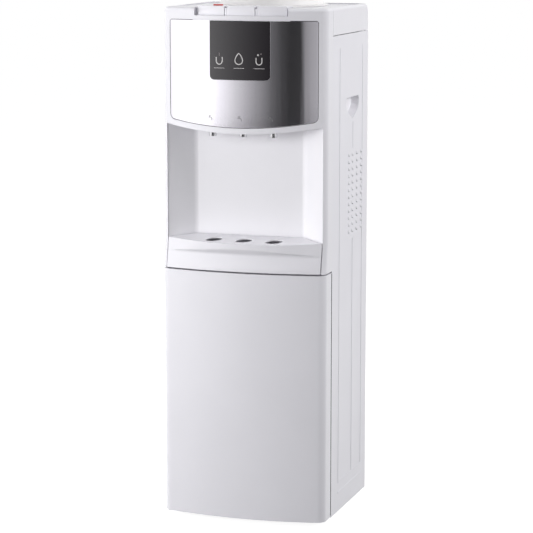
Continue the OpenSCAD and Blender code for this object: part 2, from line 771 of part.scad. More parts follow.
module drip_tray() {
    color("white") difference() {
        intersection() {
            loft([[floor_z, front_outline(door_bow_r, head_corner_r, 0, joint_y)],
                [tray_edge_z, front_outline(head_bow_r, head_corner_r, 0, joint_y)],
                [tray_top_z, front_outline(head_bow_r, head_corner_r, 0, joint_y)]]);
            translate([0, 0, floor_z]) linear_extrude(tray_top_z - floor_z) intersection() {
                polygon(alcove_plan(-tray_clear));
                translate([-mouth_x + tray_clear, front_y - over])
                    square([2 * (mouth_x - tray_clear), front_d]);
            }
        }
        above_slope(0);
        // Room for the liner's floor behind the fascia
        translate([0, 0, floor_z - over]) linear_extrude(tray_z0 - floor_z + over) {
            polygon(front_outline(door_bow_r, door_corner_r, rim_w + 4.5, joint_y + over));
            translate([-half_w, mouth_y - 0.5]) square([body_w, front_d]);
        }
        // Basin, and the seat of the grille over it
        translate([0, 0, tray_z0 + tray_wall]) linear_extrude(60)
            tray_plan(tray_wall, rim_w + 5, head_bow_r);
        intersection() {
            translate([0, 0, tray_z0 + tray_wall]) linear_extrude(80)
                tray_plan(1.4, rim_w, head_bow_r);
            above_slope(grille_t + 0.2);
        }
        // Finger scoop, deepest at the middle of the front
        loft([for (p = scoop_section) [p[1], scoop_plan(p[0])]]);
    }
}

module drip_grille() {
    leaf_y = front_y + 26;
    ring = (leaf_len * leaf_len / 4 + leaf_w * leaf_w / 4) / leaf_w;
    color("white") difference() {
        intersection() {
            translate([0, 0, tray_z0 + tray_wall]) linear_extrude(80)
                tray_plan(1.8, rim_w + 0.4, head_bow_r);
            above_slope(grille_t);
        }
        above_slope(0);
        for (x = tap_x) translate([x, leaf_y, tray_edge_z - 20]) rotate([0, 0, 33])
            linear_extrude(60) intersection() {
                translate([0, ring - leaf_w / 2]) circle(r = ring);
                translate([0, leaf_w / 2 - ring]) circle(r = ring);
            }
    }
}

pin_x = -half_w + pin_in;
pin_y = door_back_y - pin_ahead;
boss = 7;
pin_len = 15;
module door_skin() {
    color("whitesmoke") difference() {
        union() {
            difference() {
                translate([0, 0, door_z0]) linear_extrude(door_h)
                    polygon(front_outline(door_bow_r, door_corner_r, 0, door_back_y));
                translate([0, 0, door_z0 + wall]) linear_extrude(door_h - 2 * wall)
                    polygon(front_outline(door_bow_r, door_corner_r, wall, door_back_y + over));
            }
            for (z = [door_z0 + 0.5, door_z1 - pin_len - 3])
                block(-half_w + wall - 0.5, pin_x + boss, pin_y - boss, pin_y + boss,
                    z, z + pin_len + 2.5);
        }
        for (z = [door_z0 - over, door_z1 - pin_len]) rod_z(pin_x, pin_y, pin_r + 0.1, z, z + pin_len + over);
    }
}

// Inner panel of the door, with a raised frame that stiffens it
module door_liner() {
    back = door_back_y - 0.1;
    half = half_w - wall - fine;
    z0 = door_z0 + wall + fine;
    z1 = door_z1 - wall - fine;
    color("white") difference() {
        union() {
            block(-half, half, back - 2.5, back, z0, z1);
            difference() {
                block(-half + 34, half - 34, back - 10, back - over, z0 + 30, z1 - 30);
                block(-half + 36.5, half - 36.5, back - 12, back - 2.5, z0 + 32.5, z1 - 32.5);
            }
        }
        block(-half + 36.5, half - 36.5, back - 1.2, back + over, z0 + 32.5, z1 - 32.5);
        block(magnet_x0 - fine, magnet_x1 + fine, back - 12, back + over, magnet_z0 - fine, magnet_z1 + fine);
    }
}
magnet_x0 = half_w - 17;
magnet_x1 = half_w - 5;
magnet_z0 = door_z1 - 62;
magnet_z1 = door_z1 - 27;
module door_magnet() {
    color("#333333") block(magnet_x0, magnet_x1, door_back_y - 9, side_front_y - 0.5, magnet_z0, magnet_z1);
}

// Upper and lower bracket, each with the pin that the door turns on
module hinge_brackets() {
    t = 1.5;
    reach = pin_x + 16;
    inner_x = panel_flange - side_x + fine;
    color("silver") {
        for (z = [base_z - t, lower_shelf_z]) {
            block(pin_x - 6, reach, pin_y - 7, door_back_y, z, z + t);
            block(inner_x, reach, door_back_y - over, side_front_y + 24, z, z + t);
        }
        rod_z(pin_x, pin_y, pin_r, base_z - 0.5, door_z0 + pin_len - 2);
        rod_z(pin_x, pin_y, pin_r, door_z1 - pin_len + 1.5, lower_shelf_z + 0.5);
    }
}

// Shield shape of the hand grip in Y and Z, inset by d
grip_y = joint_y + 130;
grip_z = top_z - grip_top;
function grip_outline(d) =
    let (w = grip_w / 2 - d, h = grip_h - 2 * d, r = 6, n = 4, shoulder = 0.3, steps = 7)
    concat(
        [for (i = [0:n]) let (a = 90 * i / n)
            [grip_y + w - r + r * cos(a), grip_z - d - r + r * sin(a)]],
        [for (i = [0:n]) let (a = 90 + 90 * i / n)
            [grip_y - w + r + r * cos(a), grip_z - d - r + r * sin(a)]],
        [for (i = [0:steps - 1]) let (q = i / steps)
            [grip_y - w * (1 - pow(q, 1.8)), grip_z - d - h * (shoulder + (1 - shoulder) * q)]],
        [[grip_y - 3, grip_z - d - h * 0.99], [grip_y + 3, grip_z - d - h * 0.99]],
        [for (i = [steps - 1:-1:0]) let (q = i / steps)
            [grip_y + w * (1 - pow(q, 1.8)), grip_z - d - h * (shoulder + (1 - shoulder) * q)]]
    );

louvre_y = [grip_y - 20, grip_y + 4, grip_y + 33, grip_y + 62];
louvre_z = grip_z - 108;
rib_y = [joint_y + 49, joint_y + 136, joint_y + 200];
louvre_h = 4.5;

// Steel side panel: return flanges, pressed ribs and louvres, opening of the hand grip
module side_panel() {
    in_x = side_x - sheet_t;
    color("gainsboro") difference() {
        union() {
            block(in_x, side_x, side_front_y, rear_y, base_z, side_top_z);
            block(side_x - panel_flange, side_x, side_front_y, side_front_y + sheet_t, base_z, side_top_z);
            block(side_x - panel_flange, side_x, rear_y - sheet_t, rear_y, base_z, side_top_z);
            block(side_x - 13, in_x + 0.2, rear_panel_y - sheet_t, rear_panel_y, base_z + 2, side_top_z);
            for (y = [rib_y[0], rib_y[2]])
                block(side_x - 0.2, half_w, y - 2.5, y + 2.5, base_z + 58, side_top_z - 24);
            block(side_x - 0.2, half_w, rib_y[1] - 2.5, rib_y[1] + 2.5,
                louvre_z + 12, grip_z - grip_h - 6);
            block(side_x - 0.2, half_w, rib_y[1] - 2.5, rib_y[1] + 2.5,
                base_z + 58, louvre_z - louvre_rows * louvre_pitch);
            for (z = [base_z + 34, base_z + 54])
                block(side_x - 0.2, half_w, rib_y[0] - 2.5, rib_y[2] + 2.5, z, z + 4);
            for (y = louvre_y) for (i = [0:louvre_rows - 1])
                block(side_x - 0.2, half_w, y - 5, y + 5, louvre_z - i * louvre_pitch,
                    louvre_z - i * louvre_pitch + louvre_h);
        }
        along_x(in_x - over, half_w + over) polygon(grip_outline(0));
        for (y = louvre_y) for (i = [0:louvre_rows - 1])
            block(in_x - over, half_w + over, y - 4, y + 4, louvre_z - i * louvre_pitch - 1.6,
                louvre_z - i * louvre_pitch);
    }
}
module side_panel_right() { side_panel(); }
module side_panel_left() { mirror([1, 0, 0]) side_panel(); }

// Moulded cup behind each grip opening
module grip_cup() {
    in_x = side_x - sheet_t - 0.1;
    color("gainsboro") difference() {
        union() {
            along_x(in_x - 1.5, in_x) polygon(grip_outline(-5));
            hull() {
                along_x(in_x - 1, in_x) polygon(grip_outline(-1.5));
                along_x(in_x - grip_d - 2, in_x - grip_d - 1) polygon(grip_outline(2.5));
            }
        }
        hull() {
            along_x(in_x, in_x + over) polygon(grip_outline(0.5));
            along_x(in_x - grip_d, in_x - grip_d + 0.5) polygon(grip_outline(4.5));
        }
    }
}
module side_grips() {
    grip_cup();
    mirror([1, 0, 0]) grip_cup();
}

// Top cover: rounded side and rear edges, recessed top, opening of the bottle seat
cover_y1 = rear_y - 3;
module cover_body(d, z0) {
    re = edge_r - d > 0.5 ? edge_r - d : 0.5;
    rr = rear_r - d;
    intersection() {
        along_y(side_front_y + d, cover_y1 - d) polygon(concat(
            [[-half_w + d, z0], [half_w - d, z0]],
            [for (i = [0:4]) let (a = 22.5 * i)
                [half_w - d - re + re * cos(a), top_z - d - re + re * sin(a)]],
            [for (i = [0:4]) let (a = 90 + 22.5 * i)
                [-half_w + d + re + re * cos(a), top_z - d - re + re * sin(a)]]));
        along_x(-half_w, half_w) polygon(concat(
            [[side_front_y + d, z0], [cover_y1 - d, z0]],
            [for (i = [0:8]) let (a = 90 * i / 8)
                [cover_y1 - d - rr + rr * cos(a), top_z - d - rr + rr * sin(a)]],
            [[side_front_y + d, top_z - d]]));
    }
}
module top_cover() {
    rim = 7;
    color("whitesmoke") difference() {
        union() {
            difference() {
                cover_body(0, cover_z);
                cover_body(wall, cover_z - over);
                block(-half_w + rim, half_w - rim, side_front_y + rim, cover_y1 - rear_r - 2,
                    recess_z, top_z + over);
            }
            block(-half_w + rim - 2, half_w - rim + 2, side_front_y + 2, cover_y1 - rear_r,
                recess_z - wall, recess_z);
        }
        rod_z(0, bottle_y, seat_hole_r, recess_z - wall - over, top_z + over);
        rod_z(0, bottle_y, seat_flange_r + 1, recess_z, top_z + over);
    }
}

// Removable collar that centres the bottle and leads its neck to the spike
module bottle_seat() {
    neck_z0 = cold_z1 + 10;
    step = recess_z - wall - 6;
    color("ivory") translate([0, bottle_y, 0]) rotate_extrude($fn = 96) polygon([
        [neck_r, neck_z0], [neck_r + 2, neck_z0], [neck_r + 2, neck_z0 + 14],
        [seat_mouth_r - 6, step - 3], [seat_hole_r - 0.4, step], [seat_hole_r - 0.4, seat_z],
        [seat_flange_r, seat_z], [seat_flange_r, seat_z + 2.2], [seat_r + 0.8, seat_z + 3],
        [seat_r, seat_top_z - 5], [seat_r - 1.5, seat_top_z - 1.5], [seat_r - 5, seat_top_z],
        [seat_mouth_r + 3, seat_top_z], [seat_mouth_r, seat_top_z - 2.5],
        [seat_mouth_r - 3, step + 6], [neck_r + 1, neck_z0 + 19], [neck_r, neck_z0 + 16]]);
}

// Spike that opens the bottle, on three arms in the seat's neck
module feed_spike() {
    z0 = cold_z1 + 10;
    color("ivory") translate([0, bottle_y, 0]) difference() {
        union() {
            translate([0, 0, z0]) cylinder(r = spike_r, h = 30);
            translate([0, 0, z0 + 30]) cylinder(r1 = spike_r, r2 = spike_r - 4, h = 9);
            translate([0, 0, z0]) difference() {
                cylinder(r = neck_r - 0.1, h = 5);
                translate([0, 0, -over]) cylinder(r = neck_r - 4, h = 5 + 2 * over);
            }
            for (a = [0, 120, 240]) rotate([0, 0, a])
                translate([0, -2, z0]) cube([neck_r - 2, 4, 5]);
        }
        translate([0, 0, z0 - over]) cylinder(r = spike_r - 2.5, h = 30);
        for (a = [0, 90]) rotate([0, 0, a]) translate([0, 0, z0 + 22])
            rotate([90, 0, 0]) cylinder(r = 2.5, h = 4 * spike_r, center = true);
    }
}

// Cold tank with the collar that the seat's neck hangs in
module cold_tank() {
    t = 1;
    color("silver") translate([0, bottle_y, 0]) difference() {
        rotate_extrude($fn = 96) polygon([
            [0, cold_z0], [cold_r, cold_z0], [cold_r, cold_z1], [neck_r + 4.5, cold_z1],
            [neck_r + 4.5, cold_z1 + 14], [neck_r + 3.3, cold_z1 + 14], [neck_r + 3.3, cold_z1 - t],
            [cold_r - t, cold_z1 - t], [cold_r - t, cold_z0 + t], [0, cold_z0 + t]]);
        for (p = outlets) translate([p[0], p[1] - bottle_y, cold_z0 - over])
            cylinder(r = hose_r + 0.3, h = 4);
    }
}
// Places in plan where the cold, the room and the feed hose leave the cold tank
outlets = [[0.62 * cold_r, bottle_y - 0.43 * cold_r], [0, bottle_y],
    [0.46 * cold_r, bottle_y + 0.57 * cold_r]];

// Two foam halves round the cold tank and its coil, split along the width
module insulation_half(s) {
    gap = 0.2;
    color("#f0ead8") intersection() {
        translate([0, bottle_y, 0]) difference() {
            translate([0, 0, insulation_z0])
                cylinder(r = insulation_r, h = cold_z1 - insulation_z0, $fn = 96);
            translate([0, 0, cold_z0 - 0.4])
                cylinder(r = sleeve_in_r, h = cold_z1 - cold_z0 + over, $fn = 96);
            for (p = outlets) translate([p[0], p[1] - bottle_y, insulation_z0 - over])
                cylinder(r = hose_r + 1, h = 60);
            translate([0, coil_path_r, insulation_z0 - over]) cylinder(r = coil_r + 1, h = 60);
            translate([sleeve_in_r - 5, -4, cold_z0 + coil_rise - 4])
                cube([insulation_t + 10, 8, 8]);
        }
        translate([-body_w, bottle_y + (s > 0 ? gap : -body_d - gap), insulation_z0 - over])
            cube([2 * body_w, body_d, top_z]);
    }
}
module tank_insulation() {
    insulation_half(1);
    insulation_half(-1);
}

// Disc that parts room-temperature water from cold, on its standpipe
module baffle_plate() {
    color("white") translate([0, bottle_y, 0]) difference() {
        union() {
            translate([0, 0, baffle_z]) cylinder(r = cold_r - 4, h = 2.5, $fn = 96);
            translate([0, 0, cold_z0 + 1.3]) cylinder(r = hose_r + 3, h = baffle_z - cold_z0);
        }
        translate([0, 0, cold_z0]) cylinder(r = hose_r + 0.3, h = baffle_z - cold_z0 + 14);
        for (a = [0:60:300]) rotate([0, 0, a]) translate([cold_r - 14, 0, baffle_z - 6])
            cylinder(r = 3, h = 20, $fn = 24);
    }
}

// Evaporator coil round the cold tank, and the suction line down to the compressor
coil_rise = 90;
function helix_point(i, steps) =
    let (a = 90 + 360 * i / steps, s = i / (steps * coil_turns - steps / 4))
    [coil_path_r * cos(a), bottle_y + coil_path_r * sin(a), cold_z0 + 12 + (coil_rise - 12) * s];
module evaporator_coil() {
    steps = 24;
    down = rounded([
        [comp_x - stub_reach, comp_y + stub_reach, comp_z0 + comp_line_z],
        [0, coil_down_y, comp_z0 + comp_line_z], [0, coil_down_y, cold_z0 + 5]], 4);
    up = [for (i = [1:steps * coil_turns - steps / 4]) helix_point(i, steps)];
    color("peru") tube(concat(down, up), coil_r);
}

// Hot tank with its legs and its stubs for feed and drain
module hot_tank() {
    t = 1;
    color("silver") translate([hot_x, hot_y, 0]) difference() {
        union() {
            rotate_extrude($fn = 72) polygon([
                [0, hot_z0 - dome_h], [hot_r * 0.55, hot_z0 - dome_h + 2], [hot_r - 4, hot_z0 - 4],
                [hot_r, hot_z0], [hot_r, hot_z1], [hot_r - 4, hot_z1 + 4],
                [hot_r * 0.55, hot_z1 + dome_h - 2], [0, hot_z1 + dome_h]]);
            for (a = [30, 150, 270]) rotate([0, 0, a])
                translate([hot_r - 14, -4, lower_shelf_z + 0.1]) cube([6, 8, hot_z0 - lower_shelf_z - 1]);
            translate([0, 0, stub_z]) rotate([0, 90, 0]) cylinder(r = 4, h = hot_r + 5);
            translate([0, 0, stub_z]) rotate([-90, 0, 0]) cylinder(r = 4, h = hot_r + 6);
            translate([0, 0, hot_z1 + dome_h - 3]) cylinder(r = 4, h = 9);
        }
        translate([0, 0, hot_z0 - dome_h + 4]) rotate_extrude($fn = 72) polygon([
            [0, 0], [hot_r * 0.5, 1], [hot_r - 4, dome_h - 5], [hot_r - t, dome_h - 3],
            [hot_r - t, hot_h + dome_h - 5], [hot_r * 0.5, hot_h + 2 * dome_h - 9],
            [0, hot_h + 2 * dome_h - 8]]);
        rod_z(0, 0, 2.5, hot_z1, hot_z1 + dome_h + 10);
        for (x = [-8, 8]) rod_z(-12 + x, 0, heater_r + 0.1, hot_z0 - dome_h - over, hot_z0 - dome_h + 10);
    }
}
heater_r = 3;

module hot_jacket() {
    color("#d8d2c0") translate([hot_x, hot_y, hot_z0 + 0.5]) difference() {
        cylinder(r = jacket_r, h = hot_h - 1, $fn = 96);
        translate([0, 0, -over]) cylinder(r = hot_r + 0.4, h = hot_h + over, $fn = 96);
    }
}

// Immersion heater: a hairpin through the hot tank's floor, on its terminal plate
module heating_element() {
    x = hot_x - 12;
    z0 = hot_z0 - dome_h - 9;
    color("dimgray") {
        tube(rounded([[x - 8, hot_y, z0], [x - 8, hot_y, hot_z0 + hot_h * 0.7],
            [x + 8, hot_y, hot_z0 + hot_h * 0.7], [x + 8, hot_y, z0]], 7.9), heater_r, 10);
        block(x - 14, x + 14, hot_y - 6, hot_y + 6, z0 - 2, z0 + 3);
    }
}

// Hoses from the tanks to the taps; each rises between the tanks and the head
hose_bend = 2.2 * hose_r;
module tap_hose(from, x, z) {
    color("lightgray") tube(rounded([from, [from[0], from[1], z], [x, riser_y, z],
        [x, riser_y, inlet_z], [x, inlet_end_y + 0.2, inlet_z]], hose_bend), hose_r, 10);
}
hose_under_z = upper_shelf_z - 4.4 * hose_r;
hot_stub_z = hot_z1 + dome_h + 6.2;
module hot_hose() { tap_hose([hot_x, hot_y, hot_stub_z], tap_x[0], hot_stub_z + 3.6 * hose_r); }
module room_hose() { tap_hose([each outlets[1], cold_z0 + 0.5], tap_x[1], hose_under_z); }
module cold_hose() { tap_hose([each outlets[0], cold_z0 + 0.5], tap_x[2], hose_under_z); }
module hot_feed_hose() {
    x = outlets[2][0];
    color("lightgray") tube(rounded([[x, outlets[2][1], cold_z0 + 0.5], [x, outlets[2][1], stub_z],
        [x, hot_y, stub_z], [hot_x + hot_r + 5.2, hot_y, stub_z]], hose_bend), hose_r, 10);
}

// Drain hose from the hot tank to its spout in the rear panel
module drain_hose() {
    color("lightgray") difference() {
        union() {
            tube(rounded([[hot_x, hot_y + hot_r + 6.2, stub_z], [hot_x, drain_y, stub_z],
                [hot_x, drain_y, drain_z], [hot_x, rear_panel_y - 6, drain_z]], 8), hose_r, 10);
            rod_y(hot_x, drain_z, 6, rear_panel_y - 9, rear_y - 5);
            rod_y(hot_x, drain_z, 10, rear_panel_y - 4.3, rear_panel_y - 0.2);
        }
        rod_y(hot_x, drain_z, 3.5, rear_panel_y - 2, rear_y);
    }
}
module drain_cap() {
    color("dodgerblue") difference() {
        rod_y(hot_x, drain_z, 9, rear_panel_y + 8, rear_y - 2);
        rod_y(hot_x, drain_z, 6.1, rear_panel_y + 7, rear_y - 4.5);
    }
}

// Rear panel over the tanks: air slots, standoffs of the condenser, openings of the fittings
panel_z0 = 240;
vent_pitch = body_w / 8.6;
module rear_panel() {
    y0 = rear_panel_y + 0.1;
    half = side_x - sheet_t - fine;
    color("gainsboro") {
        difference() {
            block(-half, half, y0, y0 + sheet_t, panel_z0, side_top_z - 1);
            for (i = [-3:3]) for (k = [0:3])
                block(i * vent_pitch - 13, i * vent_pitch + 13, y0 - over, y0 + sheet_t + over,
                    panel_z0 + 60 + k * 9, panel_z0 + 63 + k * 9);
            for (i = [-1:3]) for (k = [0:2])
                block(i * vent_pitch - 13, i * vent_pitch + 13, y0 - over, y0 + sheet_t + over,
                    switch_z - 12 + k * 9, switch_z - 9 + k * 9);
            rod_y(hot_x, drain_z, 6.4, y0 - over, y0 + sheet_t + over);
            rod_y(gland_x, drain_z, 7.4, y0 - over, y0 + sheet_t + over);
            for (x = switch_x)
                block(x - 6.8, x + 6.8, y0 - over, y0 + sheet_t + over, switch_z - 9.8, switch_z + 9.8);
        }
        for (x = [-cond_x + 2, cond_x - 2]) for (k = [2, 8, 14])
            rod_y(x, cond_z0 + k * cond_pitch, 2.4, y0 + 0.5, cond_y - cond_r - fine);
    }
}

module base_plate() {
    half = side_x - sheet_t - fine;
    z1 = base_z + sheet_t + 0.2;
    color("gray") difference() {
        union() {
            block(-half, half, side_front_y + sheet_t + fine, rear_y - sheet_t - fine, base_z, z1);
            block(-half, half, side_front_y + sheet_t + fine, side_front_y + 2 * sheet_t + fine,
                base_z, base_z + 14);
            block(-half, half, rear_y - 2 * sheet_t - fine, rear_y - sheet_t - fine,
                base_z, base_z + 20);
            for (s = [-1, 1]) block(min(s * half, s * (half - sheet_t)), max(s * half, s * (half - sheet_t)),
                side_front_y + sheet_t + fine, rear_panel_y - 3, base_z, base_z + 16);
        }
        for (x = [-48, 0]) block(x, x + 34, comp_y - 30, comp_y - 26, base_z - over, z1 + over);
    }
}

module feet() {
    r = foot_d / 2;
    color("#333333") for (x = [-half_w + 32, half_w - 32]) for (y = [side_front_y + 30 + r, rear_y - 28])
        translate([x, y, 0]) rotate_extrude($fn = 48) polygon([
            [0, 0], [r - 1.5, 0], [r, 1.5], [r - 2, base_z], [0, base_z]]);
}

// Cupboard: a stepped moulded box, shallower below, where the compressor stands behind it
liner_y0 = side_front_y + sheet_t + 0.1;
liner_z0 = base_z + 24;
liner_z1 = door_z1 - 22;
module cabinet_liner() {
    t = box_t;
    half = liner_w / 2;
    step_d = comp_y - comp_r - step_gap - box_t - liner_y0;
    liner_d = rear_panel_y - liner_gap - box_t - liner_y0;
    rim_half = side_x - sheet_t - 2;
    color("white") difference() {
        union() {
            block(-half - t, half + t, liner_y0, liner_y0 + step_d + t, liner_z0 - t, step_z + t);
            block(-half - t, half + t, liner_y0, liner_y0 + liner_d + t, step_z - t, liner_z1 + t);
            block(-rim_half, rim_half, liner_y0, liner_y0 + t, base_z + 16, lower_shelf_z - 3);
        }
        block(-half, half, liner_y0 - over, liner_y0 + step_d, liner_z0, step_z + 2 * t);
        block(-half, half, liner_y0 - over, liner_y0 + liner_d, step_z, liner_z1);
    }
}

// Cross shelf with turned ends, which ties the side panels and carries a tank
module shelf(z, y0, y1) {
    half = side_x - sheet_t - fine;
    block(-half, half, y0, y1, z - sheet_t, z);
    for (s = [-1, 1]) block(min(s * half, s * (half - sheet_t)), max(s * half, s * (half - sheet_t)),
        y0, y1, z - shelf_h, z);
    block(-half, half, y1 - sheet_t, y1, z - shelf_h, z);
}
module lower_shelf() {
    y1 = rear_panel_y - sheet_t - fine;
    color("gray") difference() {
        shelf(lower_shelf_z, liner_y0 + 0.3, y1);
        rod_z(hot_x, drain_y, hose_r + 2, lower_shelf_z - over - sheet_t, lower_shelf_z + over);
        rod_z(drier_x, drier_y, 5, lower_shelf_z - over - sheet_t, lower_shelf_z + over);
        rod_z(0, coil_down_y, coil_r + 2, lower_shelf_z - over - sheet_t, lower_shelf_z + over);
    }
}
module upper_shelf() {
    y1 = rear_panel_y - sheet_t - fine;
    color("gray") difference() {
        shelf(upper_shelf_z, riser_y + hose_r + 4, y1);
        for (p = outlets) rod_z(p[0], p[1], hose_r + 2, upper_shelf_z - over - sheet_t, upper_shelf_z + over);
        rod_z(drier_x, drier_y, 5, upper_shelf_z - over - sheet_t, upper_shelf_z + over);
        rod_z(0, coil_down_y, coil_r + 2, upper_shelf_z - over - sheet_t, upper_shelf_z + over);
    }
}

// Hermetic compressor: welded shell, foot plate, three stubs and the terminal cover
module compressor() {
    z0 = comp_z0;
    z1 = comp_z0 + comp_h;
    zm = z0 + comp_h * 0.45;
    color("#2b2b2b") translate([comp_x, comp_y, 0]) {
        rotate_extrude($fn = 72) polygon([
            [0, z0], [comp_r * 0.6, z0 + 2], [comp_r - 6, z0 + 12], [comp_r - 1, z0 + 28], [comp_r - 1, zm],
            [comp_r, zm], [comp_r, zm + 6], [comp_r - 3, zm + 8], [comp_r - 4, z1 - 30],
            [comp_r - 11, z1 - 12], [comp_r * 0.5, z1 - 2], [0, z1]]);
        difference() {
            block(-comp_r - 9, comp_r + 9, -comp_r * 0.78, comp_r * 0.78, z0 - 3, z0 + 1);
            for (x = [-1, 1]) for (y = [-1, 1])
                rod_z(x * (comp_r + 2), y * (comp_r * 0.78 - 8), 4.4, z0 - 4, z0 + 2);
        }
        for (a = [45, 135]) rotate([0, 0, a]) translate([0, 0, z0 + comp_line_z]) rotate([0, 90, 0])
            cylinder(r = 4.5, h = comp_r + 4);
        block(-comp_r - 13, -comp_r + 12, -16, 16, z0 + 24, z0 + 62);
    }
}

// Rubber mounts, a groove in each round the compressor's foot plate
module compressor_mounts() {
    z0 = base_z + sheet_t + 0.2;
    zp = comp_z0 - 3;
    color("#333333") for (x = [-1, 1]) for (y = [-1, 1])
        translate([comp_x + x * (comp_r + 2), comp_y + y * (comp_r * 0.78 - 8), 0])
            rotate_extrude($fn = 32) polygon([
                [0, z0], [7, z0], [7, zp - 0.1], [4.2, zp - 0.1], [4.2, zp + 4.2], [6.5, zp + 4.2],
                [5, zp + 8], [0, zp + 8]]);
}

// Condenser: one serpentine tube with upright wires on both of its faces
cond_z1 = cond_z0 + (cond_runs - 1) * cond_pitch;
cond_end = cond_x + 3;
module condenser() {
    runs = [for (i = [0:cond_runs - 1]) let (z = cond_z1 - i * cond_pitch, s = i % 2 == 0 ? 1 : -1)
        each [
            [-s * (i > 0 ? cond_x : cond_end), cond_y, z],
            [s * (i < cond_runs - 1 ? cond_x : cond_end), cond_y, z]
        ]];
    color("#303030") {
        tube(rounded(runs, 4.6, 3), cond_r);
        for (k = [-8:8]) for (s = [-1, 1])
            rod_z(k * wire_pitch, cond_y + s * (cond_r + wire_r + fine), wire_r,
                cond_z0 - 10, cond_z1 + 10);
    }
}

// Lines from the compressor to the condenser, and from there to the filter drier
module refrigerant_lines() {
    line_z = comp_z0 + comp_line_z;
    cross_z = 225;
    x0 = comp_x + stub_reach;
    y0 = comp_y + stub_reach;
    out_x = cond_x + 17;
    low_z = base_z + 37;
    color("peru") {
        tube(rounded([[x0, y0, line_z], [x0 + 7, y0 + 7, line_z], [x0 + 7, cond_y, line_z],
            [x0 + 7, cond_y, cross_z], [-out_x, cond_y, cross_z], [-out_x, cond_y, cond_z1],
            [-cond_end - fine, cond_y, cond_z1]], 4.6, 3), cond_r);
        tube(rounded([[cond_end + fine, cond_y, cond_z0], [out_x, cond_y, cond_z0],
            [out_x, cond_y, low_z], [out_x, drier_y, low_z], [drier_x, drier_y, low_z],
            [drier_x, drier_y, drier_z0 - 4.2]], 4.6, 3), cond_r);
    }
}

// Filter drier, and the capillary from it to the evaporator coil
module filter_drier() {
    end_x = coil_path_r + coil_r + 0.3;
    z = cold_z0 + coil_rise;
    color("peru") {
        translate([drier_x, drier_y, 0]) rotate_extrude($fn = 48) polygon([
            [0, drier_z0 - 4], [3.4, drier_z0 - 4], [drier_r, drier_z0 + 6], [drier_r, drier_z1 - 6],
            [2.4, drier_z1 + 6], [0, drier_z1 + 6]]);
        tube(rounded([[drier_x, drier_y, drier_z1 + 4], [drier_x, drier_y, z], [drier_x, bottle_y, z],
            [end_x, bottle_y, z]], 14), 1.6);
    }
}

// Bodies of the two rocker switches, clipped into the rear panel
module switch_bodies() {
    y0 = rear_panel_y + sheet_t + 0.2;
    color("#2b2b2b") for (x = switch_x) difference() {
        union() {
            block(x - 6.5, x + 6.5, y0 - 18, y0 + 1, switch_z - 9.5, switch_z + 9.5);
            block(x - 8.2, x + 8.2, y0, y0 + 2, switch_z - 11.2, switch_z + 11.2);
        }
        block(x - 5, x + 5, y0 - 6, y0 + 3, switch_z - 8, switch_z + 8);
        rod_x(rocker_y, switch_z, 1.3, x - 6, x + 6);
    }
}
rocker_y = rear_panel_y + sheet_t + 0.6;
// Rocker on two stub pins, tipped to its off side
module rocker(x) {
    color("firebrick") {
        translate([x, rocker_y, switch_z]) rotate([-8, 0, 0]) rotate([90, 0, 90])
            linear_extrude(9.2, center = true) polygon([[-2.5, -6.6], [0.5, -7.2], [2.6, -7],
                [1.7, 0], [2.6, 7], [0.5, 7.2], [-2.5, 6.6]]);
        rod_x(rocker_y, switch_z, 1.2, x - 5.8, x + 5.8);
    }
}
module hot_rocker() { rocker(switch_x[0]); }
module cold_rocker() { rocker(switch_x[1]); }

// Gland where a mains cord would enter
module cord_gland() {
    y0 = rear_panel_y + sheet_t + 0.2;
    color("#2b2b2b") difference() {
        union() {
            rod_y(gland_x, drain_z, 7, rear_panel_y - 8, y0 + over);
            rod_y(gland_x, drain_z, 10, y0, y0 + 4);
            rod_y(gland_x, drain_z, 6, y0 + 3, y0 + 15);
        }
        rod_y(gland_x, drain_z, 3.6, rear_panel_y - 9, y0 + 16);
    }
}

front_frame();
alcove_liner();
face_panel();
indicator_panel();
indicator_board();
hot_button();
room_button();
cold_button();
child_lock();
button_shaft();
hot_rod();
room_rod();
cold_rod();
hot_spring();
room_spring();
cold_spring();
hot_tap();
room_tap();
cold_tap();
spout_tips();
drip_tray();
drip_grille();
door_skin();
door_liner();
door_magnet();
hinge_brackets();
side_panel_left();
side_panel_right();
side_grips();
top_cover();
rear_panel();
base_plate();
feet();
cabinet_liner();
lower_shelf();
upper_shelf();
bottle_seat();
feed_spike();
cold_tank();
tank_insulation();
baffle_plate();
evaporator_coil();
hot_tank();
hot_jacket();
heating_element();
hot_feed_hose();
hot_hose();
room_hose();
cold_hose();
drain_hose();
drain_cap();
compressor();
compressor_mounts();
condenser();
refrigerant_lines();
filter_drier();
switch_bodies();
hot_rocker();
cold_rocker();
cord_gland();
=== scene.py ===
import json
import math

import bmesh
import bpy
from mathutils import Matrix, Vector


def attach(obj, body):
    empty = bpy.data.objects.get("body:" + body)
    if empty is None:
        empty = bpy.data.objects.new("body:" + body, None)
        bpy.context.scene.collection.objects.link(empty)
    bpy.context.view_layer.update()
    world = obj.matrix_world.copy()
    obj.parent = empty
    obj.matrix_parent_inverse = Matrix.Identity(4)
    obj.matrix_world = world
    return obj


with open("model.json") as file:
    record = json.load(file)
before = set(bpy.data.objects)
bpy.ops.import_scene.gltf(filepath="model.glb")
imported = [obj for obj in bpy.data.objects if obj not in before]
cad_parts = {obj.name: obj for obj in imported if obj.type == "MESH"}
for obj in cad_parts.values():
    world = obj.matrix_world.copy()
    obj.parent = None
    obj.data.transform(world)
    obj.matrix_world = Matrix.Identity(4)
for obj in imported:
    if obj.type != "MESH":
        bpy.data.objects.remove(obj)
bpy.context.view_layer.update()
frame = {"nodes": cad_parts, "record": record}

nodes = frame["nodes"]

